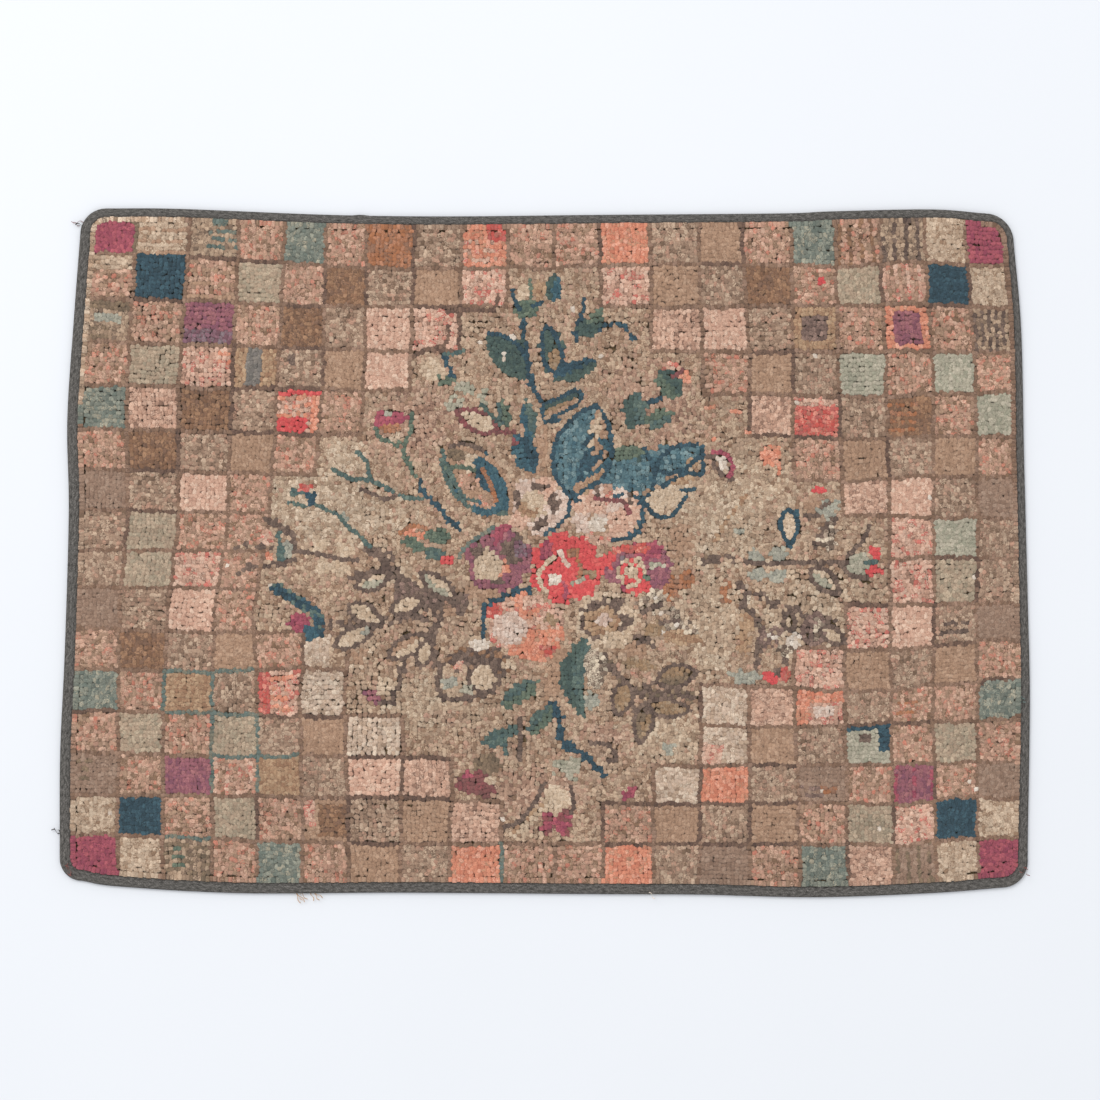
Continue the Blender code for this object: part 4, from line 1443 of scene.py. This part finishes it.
def twill_material():
    """Cotton twill tape: dark grey, unevenly faded, with fine slanting ribs and lint."""
    material, tree, shader = new_material("dark cotton twill")
    # The weave map counts millimetres along and across the tape.
    weave = add(tree, "ShaderNodeUVMap", {"uv_map": "weave"}).outputs["UV"]
    # The real ribs lie 1 mm apart, which is too fine to show, so they are drawn 2.3 mm apart.
    slant = {"bands_direction": "DIAGONAL", "Scale": 0.19, "Distortion": 0.4}
    ribs = add(tree, "ShaderNodeTexWave", slant, {"Vector": weave})
    # Faded streaks, about 5 mm long and 2 mm wide.
    long_ways = add(tree, "ShaderNodeMapping", {"Scale": (0.22, 0.5, 1.0)}, {"Vector": weave})
    streaks = add(tree, "ShaderNodeTexNoise", {"Scale": 1.0, "Detail": 4.0}, {"Vector": long_ways.outputs[0]})
    tones = two_tones(tree, streaks, (0.3, "#353330"), (0.72, "#6c6864"))
    # Lint and grit, about 1 mm across.
    lint = add(tree, "ShaderNodeTexNoise", {"Scale": 1.0, "Detail": 3.0}, {"Vector": weave})
    gritty = {"From Min": 0.3, "From Max": 0.7, "To Min": 0.5, "To Max": 1.5}
    speck = add(tree, "ShaderNodeMapRange", gritty, {"Value": lint.outputs["Fac"]})
    rib = add(tree, "ShaderNodeMapRange", {"To Min": 0.9, "To Max": 1.06}, {"Value": ribs.outputs["Fac"]})
    feeds = {0: speck.outputs["Result"], 1: rib.outputs["Result"]}
    both = add(tree, "ShaderNodeMath", {"operation": "MULTIPLY"}, feeds)
    # Painted shade: the fold is darker towards the floor, where its turned edge lies in shade.
    place = add(tree, "ShaderNodeSeparateXYZ", links={0: add(tree, "ShaderNodeTexCoord").outputs["Object"]})
    fold_shade_range = {"From Min": 2.5 * MM, "From Max": 5.0 * MM, "To Min": 0.5, "To Max": 1.0}
    fold_shade = add(tree, "ShaderNodeMapRange", fold_shade_range, {"Value": place.outputs["Z"]})
    feeds = {0: both.outputs[0], 1: fold_shade.outputs["Result"]}
    light = add(tree, "ShaderNodeMath", {"operation": "MULTIPLY"}, feeds)
    feeds = {0: tones.outputs["Color"], "Scale": light.outputs[0]}
    colour = add(tree, "ShaderNodeVectorMath", {"operation": "SCALE"}, feeds)
    raised = {"Strength": 0.6, "Distance": 0.25 * MM}
    bump = add(tree, "ShaderNodeBump", raised, {"Height": ribs.outputs["Fac"]})
    tree.links.new(colour.outputs[0], shader.inputs["Base Color"])
    tree.links.new(bump.outputs["Normal"], shader.inputs["Normal"])
    shader.inputs["Roughness"].default_value = 0.85
    shader.inputs["Specular IOR Level"].default_value = 0.2
    return material


def burlap_material():
    """Burlap: a coarse plain weave of tan jute threads, 1.8 mm apart, over and under each other."""
    material, tree, shader = new_material("plain woven jute")
    place = add(tree, "ShaderNodeTexCoord").outputs["Object"]
    # One wave is one thread, and a wave of scale 1 turns by 20 radians a metre.
    pitch = {"Scale": math.tau / (20 * 1.8 * MM), "Distortion": 0.6, "Detail Scale": 3.0}
    warp = add(tree, "ShaderNodeTexWave", {"bands_direction": "X", **pitch}, {"Vector": place})
    weft = add(tree, "ShaderNodeTexWave", {"bands_direction": "Y", **pitch}, {"Vector": place})
    feeds = {0: warp.outputs["Fac"], 1: weft.outputs["Fac"]}
    over = add(tree, "ShaderNodeMath", {"operation": "MAXIMUM"}, feeds)
    # The jute is darker or paler in places, over some 9 mm.
    slub = add(tree, "ShaderNodeTexNoise", {"Scale": 1 / (9 * MM), "Detail": 3.0}, {"Vector": place})
    tones = two_tones(tree, slub, (0.3, "#8d7656"), (0.7, "#b59d78"))
    deep = add(tree, "ShaderNodeMapRange", {"To Min": 0.55, "To Max": 1.0}, {"Value": over.outputs[0]})
    feeds = {0: tones.outputs["Color"], "Scale": deep.outputs["Result"]}
    colour = add(tree, "ShaderNodeVectorMath", {"operation": "SCALE"}, feeds)
    raised = {"Strength": 0.8, "Distance": 0.5 * MM}
    bump = add(tree, "ShaderNodeBump", raised, {"Height": over.outputs[0]})
    tree.links.new(colour.outputs[0], shader.inputs["Base Color"])
    tree.links.new(bump.outputs["Normal"], shader.inputs["Normal"])
    shader.inputs["Roughness"].default_value = 0.95
    shader.inputs["Specular IOR Level"].default_value = 0.15
    return material


def at(i, inset, height):
    """A place in metres, inset from the rug's outline at its point i and at a height above the floor."""
    flat = RIM[i] - outward(RIM, i) * inset
    return Vector((flat.x * MM, flat.y * MM, height * MM))


def half_round(radius, steps, clockwise=False):
    """(inset, height) round the rug's edge, from its underside to its face, or back if clockwise."""
    made = []
    for i in range(steps + 1):
        angle = math.pi * i / steps
        made.append((EDGE_RADIUS - radius * math.sin(angle), EDGE_RADIUS - radius * math.cos(angle)))
    return made[::-1] if clockwise else made


def uneven(along, how, seed):
    """A smooth change along the tape. how is (by how much, over what length)."""
    return how[0] * noise.noise(Vector((along / how[1], seed, 0.0)))


def tape_section(i, along):
    """(inset, height) round the tape's cross section: its outer side, then back along its inner side."""
    point = RIM[i]
    lapped = point.y > 0 and JOIN_FROM < point.x < JOIN_TO
    extra = TAPE_THICKNESS - 0.1 if lapped else 0.0
    front = front_lap(point, outward(RIM, i)) + uneven(along, TAPE_WANDER, 7.0)
    front += uneven(along, TAPE_FRAY, 3.0)
    swell = uneven(along, TAPE_SWELL, 11.0)
    outer = []
    for inset, height in half_round(EDGE_RADIUS, 8):
        lift = height / (2 * EDGE_RADIUS)
        outer.append((inset - extra * math.sin(math.pi * lift / 2), height + (extra + swell) * lift * lift))
    face = 2 * EDGE_RADIUS + extra
    middle = (front + EDGE_RADIUS) / 2
    return [
        (TAPE_BACK_LAP, 0.0),
        *outer,
        (middle, face + swell + 0.25),
        (front - 0.9, face + swell * 0.5),
        (front, face - 0.3),
        (front, face - TAPE_THICKNESS),
        *half_round(EDGE_RADIUS - TAPE_THICKNESS, 6, clockwise=True),
        (TAPE_BACK_LAP, TAPE_THICKNESS),
    ]


def binding(material):
    """The twill tape, folded over the rug's edge, with its ends lapped and its front edge sewn down."""
    count = len(RIM)
    along = [0.0]
    for i in range(1, count):
        along.append(along[-1] + (RIM[i] - RIM[i - 1]).length)
    whole = along[-1] + (RIM[0] - RIM[-1]).length
    sections = [tape_section(i, along[i]) for i in range(count)]
    steps = len(sections[0])
    bm = bmesh.new()
    station = bm.verts.layers.int.new("station")
    ring_number = bm.verts.layers.int.new("ring")
    weave = bm.loops.layers.uv.new("weave")
    first = []
    for i in range(count):
        vert = bm.verts.new(at(i, *sections[i][0]))
        vert[station] = i
        first.append(vert)
    start = [bm.edges.new((first[i - 1], first[i])) for i in range(count)]
    edges = start
    for k in range(1, steps):
        made = bmesh.ops.extrude_edge_only(bm, edges=edges)["geom"]
        new_verts = {v for v in made if isinstance(v, bmesh.types.BMVert)}
        for vert in new_verts:
            vert.co = at(vert[station], *sections[vert[station]][k])
            vert[ring_number] = k
        edges = [e for e in {e for v in new_verts for e in v.link_edges} if set(e.verts) <= new_verts]
    bmesh.ops.bridge_loops(bm, edges=edges + start)
    bmesh.ops.recalc_face_normals(bm, faces=bm.faces)
    across = [0.0]
    for a, b in zip(sections[0], sections[0][1:]):
        across.append(across[-1] + math.dist(a, b))
    for face in bm.faces:
        numbers = [corner.vert[station] for corner in face.loops]
        for corner in face.loops:
            number = corner.vert[station]
            wrapped = number == 0 and max(numbers) == count - 1
            corner[weave].uv = (whole if wrapped else along[number], across[corner.vert[ring_number]])
    mesh = bpy.data.meshes.new("twill_binding")
    bm.to_mesh(mesh)
    bm.free()
    mesh.shade_smooth()
    mesh.set_sharp_from_angle(angle=math.radians(50))
    mesh.materials.append(material)
    tape = bpy.data.objects.new("twill_binding", mesh)
    bpy.context.scene.collection.objects.link(tape)
    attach(tape, "root")
    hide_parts("binding_tape")
    return tape


def thread_material(name, code):
    """Cotton sewing thread or loose fibre: dull and slightly uneven in colour along its length."""
    material, tree, shader = new_material(name)
    place = add(tree, "ShaderNodeTexCoord").outputs["Object"]
    # The dye changes over about 2 mm.
    dye = add(tree, "ShaderNodeTexNoise", {"Scale": 1 / (2 * MM), "Detail": 2.0}, {"Vector": place})
    light = {"From Min": 0.3, "From Max": 0.7, "To Min": 0.75, "To Max": 1.2}
    shade = add(tree, "ShaderNodeMapRange", light, {"Value": dye.outputs["Fac"]})
    dyed = {"operation": "SCALE", 0: linear(code)}
    colour = add(tree, "ShaderNodeVectorMath", dyed, {"Scale": shade.outputs["Result"]})
    tree.links.new(colour.outputs[0], shader.inputs["Base Color"])
    shader.inputs["Roughness"].default_value = 0.9
    return material


def one_stitch():
    """A short straight stitch of thick thread, tapered at both ends."""
    bm = bmesh.new()
    bmesh.ops.create_cone(bm, cap_ends=True, segments=5, radius1=0.34, radius2=0.34, depth=2.6)
    ends = [e for e in bm.edges if e.verts[0].co.z * e.verts[1].co.z > 0]
    bmesh.ops.bevel(bm, geom=ends, offset=0.2, segments=1, profile=0.5, affect="EDGES", material=-1)
    bmesh.ops.rotate(bm, cent=(0, 0, 0), matrix=Matrix.Rotation(math.pi / 2, 3, "Y"), verts=bm.verts)
    flat = bm.loops.layers.uv.new("OFBake")
    for face in bm.faces:
        for corner in face.loops:
            corner[flat].uv = (0.5 + corner.vert.co.x / 4, 0.5 + corner.vert.co.y / 4)
    bmesh.ops.transform(bm, matrix=Matrix.Scale(MM, 4), verts=bm.verts)
    mesh = bpy.data.meshes.new("stitch")
    bm.to_mesh(mesh)
    bm.free()
    mesh.shade_smooth()
    return bpy.data.objects.new("stitch", mesh)


def binding_stitches(material):
    """The stitches that hold the tape's front edge down to the pile, slanting over that edge."""
    stitch = one_stitch()
    group = copies_group(stitch, CELLS_ACROSS)
    whole = sum((RIM[i] - RIM[i - 1]).length for i in range(len(RIM)))
    ring = evenly([*RIM, RIM[0]], round(whole / STITCH_SPACING))[:-1]
    places = []
    turns = []
    for i, point in enumerate(ring):
        away = outward(ring, i)
        inset = front_lap(point, away) - 0.7 + RANDOM.uniform(-0.5, 0.5)
        spot = point - away * inset
        places.append((spot.x * MM, spot.y * MM, (2 * EDGE_RADIUS + 0.25) * MM))
        slant = math.atan2(away.y, away.x) + math.radians(RANDOM.gauss(35, 14))
        turns.append((0.0, math.radians(-8), slant))
    sizes = [(RANDOM.uniform(0.7, 1.2),) * 3 for _ in places]
    stitches = copies_of("binding_stitches", group, places, turns, sizes, {})
    stitches.data.materials.append(material)
    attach(stitches, "root")
    bpy.data.objects.remove(stitch)
    return stitches


# Short loose threads: where each starts and ends, in steps, how far its middle strays, its height and its
# thickness, in millimetres, and which thread it is.
LOOSE_THREADS = [
    ((-459, 328), (-469, 328), 1.5, 1.0, 1.3, "dark"),
    ((-461, 330), (-473, 331), -1.5, 1.4, 0.6, "red"),
    ((-465, 327), (-471, 330), 1.0, 1.6, 0.6, "red"),
    ((-484, -280), (-493, -277), 1.5, 1.0, 1.1, "dark"),
    ((-485, -279), (-490, -275), -1.0, 1.6, 0.9, "dark"),
    ((-250, -338), (-244, -350), 1.0, 1.2, 0.8, "orange"),
    ((-249, -338), (-240, -349), -1.2, 1.8, 0.8, "orange"),
    ((-247, -339), (-242, -347), 1.4, 1.4, 0.7, "orange"),
    ((-246, -339), (-237, -346), 1.0, 1.0, 0.7, "orange"),
    ((-234, -338), (-231, -348), -1.0, 1.0, 0.8, "orange"),
    ((-232, -338), (-225, -347), 1.2, 1.2, 0.8, "orange"),
    ((-231, -339), (-222, -345), -1.0, 1.6, 0.7, "orange"),
    ((-479, -312), (-472, -322), 2.0, 6.0, 0.8, "red"),
    ((-476, -310), (-474, -322), -2.0, 6.2, 0.7, "red"),
    ((478, -314), (484, -322), 2.0, 5.8, 0.8, "red"),
    ((474, -318), (482, -316), -2.0, 6.2, 0.7, "red"),
    ((104, -339), (110, -345), 1.0, 6.0, 0.8, "pale"),
    ((474, -144), (480, -149), 1.5, 5.8, 1.2, "teal"),
    ((473, -149), (479, -146), -1.5, 6.4, 1.2, "teal"),
]
THREAD_COLOURS = {
    "dark": "#3c3836",
    "red": "#7c4a44",
    "orange": "#b58a5c",
    "pale": "#d8cabb",
    "teal": "#5c6a66",
}


def loose_threads():
    """Frayed ends of thread and wool at the edge, one piece for each colour."""
    for kind, code in THREAD_COLOURS.items():
        bm = bmesh.new()
        for start, end, stray, height, thickness, colour in LOOSE_THREADS:
            if colour != kind:
                continue
            a = Vector(start) * STEP
            b = Vector(end) * STEP
            across = Vector((a.y - b.y, b.x - a.x)).normalized()
            route = smooth_line([a, a.lerp(b, 0.3) + across * stray, a.lerp(b, 0.7) - across * stray, b], 4)
            ring = bmesh.ops.create_circle(bm, cap_ends=True, segments=5, radius=thickness / 2)["verts"]
            ahead = (route[1] - route[0]).to_3d()
            turned = Vector((0, 0, 1)).rotation_difference(ahead).to_matrix()
            bmesh.ops.rotate(bm, cent=(0, 0, 0), matrix=turned, verts=ring)
            bmesh.ops.translate(bm, vec=Vector((*route[0], height)), verts=ring)
            cap = [f for f in bm.faces if set(f.verts) == set(ring)]
            for i in range(1, len(route)):
                made = bmesh.ops.extrude_face_region(bm, geom=cap)["geom"]
                verts = [v for v in made if isinstance(v, bmesh.types.BMVert)]
                lift = 0.35 * math.sin(math.pi * i / (len(route) - 1))
                step = (route[i] - route[i - 1]).to_3d() + Vector((0, 0, lift))
                bmesh.ops.translate(bm, vec=step, verts=verts)
                if i > 1:
                    bmesh.ops.delete(bm, geom=cap, context="FACES_ONLY")
                cap = [f for f in made if isinstance(f, bmesh.types.BMFace)]
        bmesh.ops.recalc_face_normals(bm, faces=bm.faces)
        bmesh.ops.transform(bm, matrix=Matrix.Scale(MM, 4), verts=bm.verts)
        mesh = bpy.data.meshes.new("loose_threads_" + kind)
        bm.to_mesh(mesh)
        bm.free()
        mesh.shade_smooth()
        mesh.materials.append(thread_material(kind + " loose thread", code))
        threads = bpy.data.objects.new("loose_threads_" + kind, mesh)
        bpy.context.scene.collection.objects.link(threads)
        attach(threads, "root")


def floor():
    """A plain pale floor that reaches past the view from above."""
    bm = bmesh.new()
    bmesh.ops.create_grid(bm, x_segments=1, y_segments=1, size=4.0)
    mesh = bpy.data.meshes.new("floor")
    bm.to_mesh(mesh)
    bm.free()
    material, tree, shader = new_material("pale matte paper")
    place = add(tree, "ShaderNodeTexCoord").outputs["Object"]
    mottle = add(tree, "ShaderNodeTexNoise", {"Scale": 3.0, "Detail": 3.0}, {"Vector": place})
    tones = two_tones(tree, mottle, (0.0, "#d6d8dc"), (1.0, "#d9dbdf"))
    tree.links.new(tones.outputs["Color"], shader.inputs["Base Color"])
    shader.inputs["Roughness"].default_value = 0.9
    shader.inputs["Specular IOR Level"].default_value = 0.1
    mesh.materials.append(material)
    paper = bpy.data.objects.new("floor", mesh)
    bpy.context.scene.collection.objects.link(paper)


def lights():
    """Soft light from all round, and one large lamp high up, past the rug's upper left corner."""
    world = bpy.data.worlds.new("studio")
    bpy.context.scene.world = world
    world.use_nodes = True
    sky = world.node_tree.nodes["Background"]
    sky.inputs["Color"].default_value = (0.97, 0.985, 1.0, 1.0)
    sky.inputs["Strength"].default_value = 1.0
    lamp = bpy.data.lights.new("soft lamp", "AREA")
    lamp.shape = "SQUARE"
    lamp.size = 2.4
    lamp.energy = 115.0
    holder = bpy.data.objects.new("soft lamp", lamp)
    holder.location = (-1.6, 2.2, 4.2)
    holder.rotation_euler = (-holder.location).to_track_quat("-Z", "Y").to_euler()
    bpy.context.scene.collection.objects.link(holder)


def camera():
    """Straight above the rug, whose middle lies a little left of and below the middle of the view."""
    data = bpy.data.cameras.new("camera")
    data.lens = LENS
    data.sensor_width = SENSOR
    data.clip_end = 20.0
    holder = bpy.data.objects.new("camera", data)
    distance = FRAME_WIDTH * LENS / SENSOR + PILE_TOP
    holder.location = (VIEW_MIDDLE[0] * MM, VIEW_MIDDLE[1] * MM, distance * MM)
    bpy.context.scene.collection.objects.link(holder)
    bpy.context.scene.camera = holder
    bpy.context.scene.view_settings.view_transform = "Standard"


def foundation():
    """The burlap keeps its own solid, and gets its weave."""
    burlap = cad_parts["burlap_foundation"]
    jute = burlap_material()
    for held in burlap.material_slots:
        held.material = jute
    return burlap


def main():
    camera()
    lights()
    floor()
    tape = binding(twill_material())
    stitches = binding_stitches(thread_material("dark sewing thread", "#4b4744"))
    courses = hooked_pile(wool_material())
    burlap = foundation()
    loose_threads()


main()
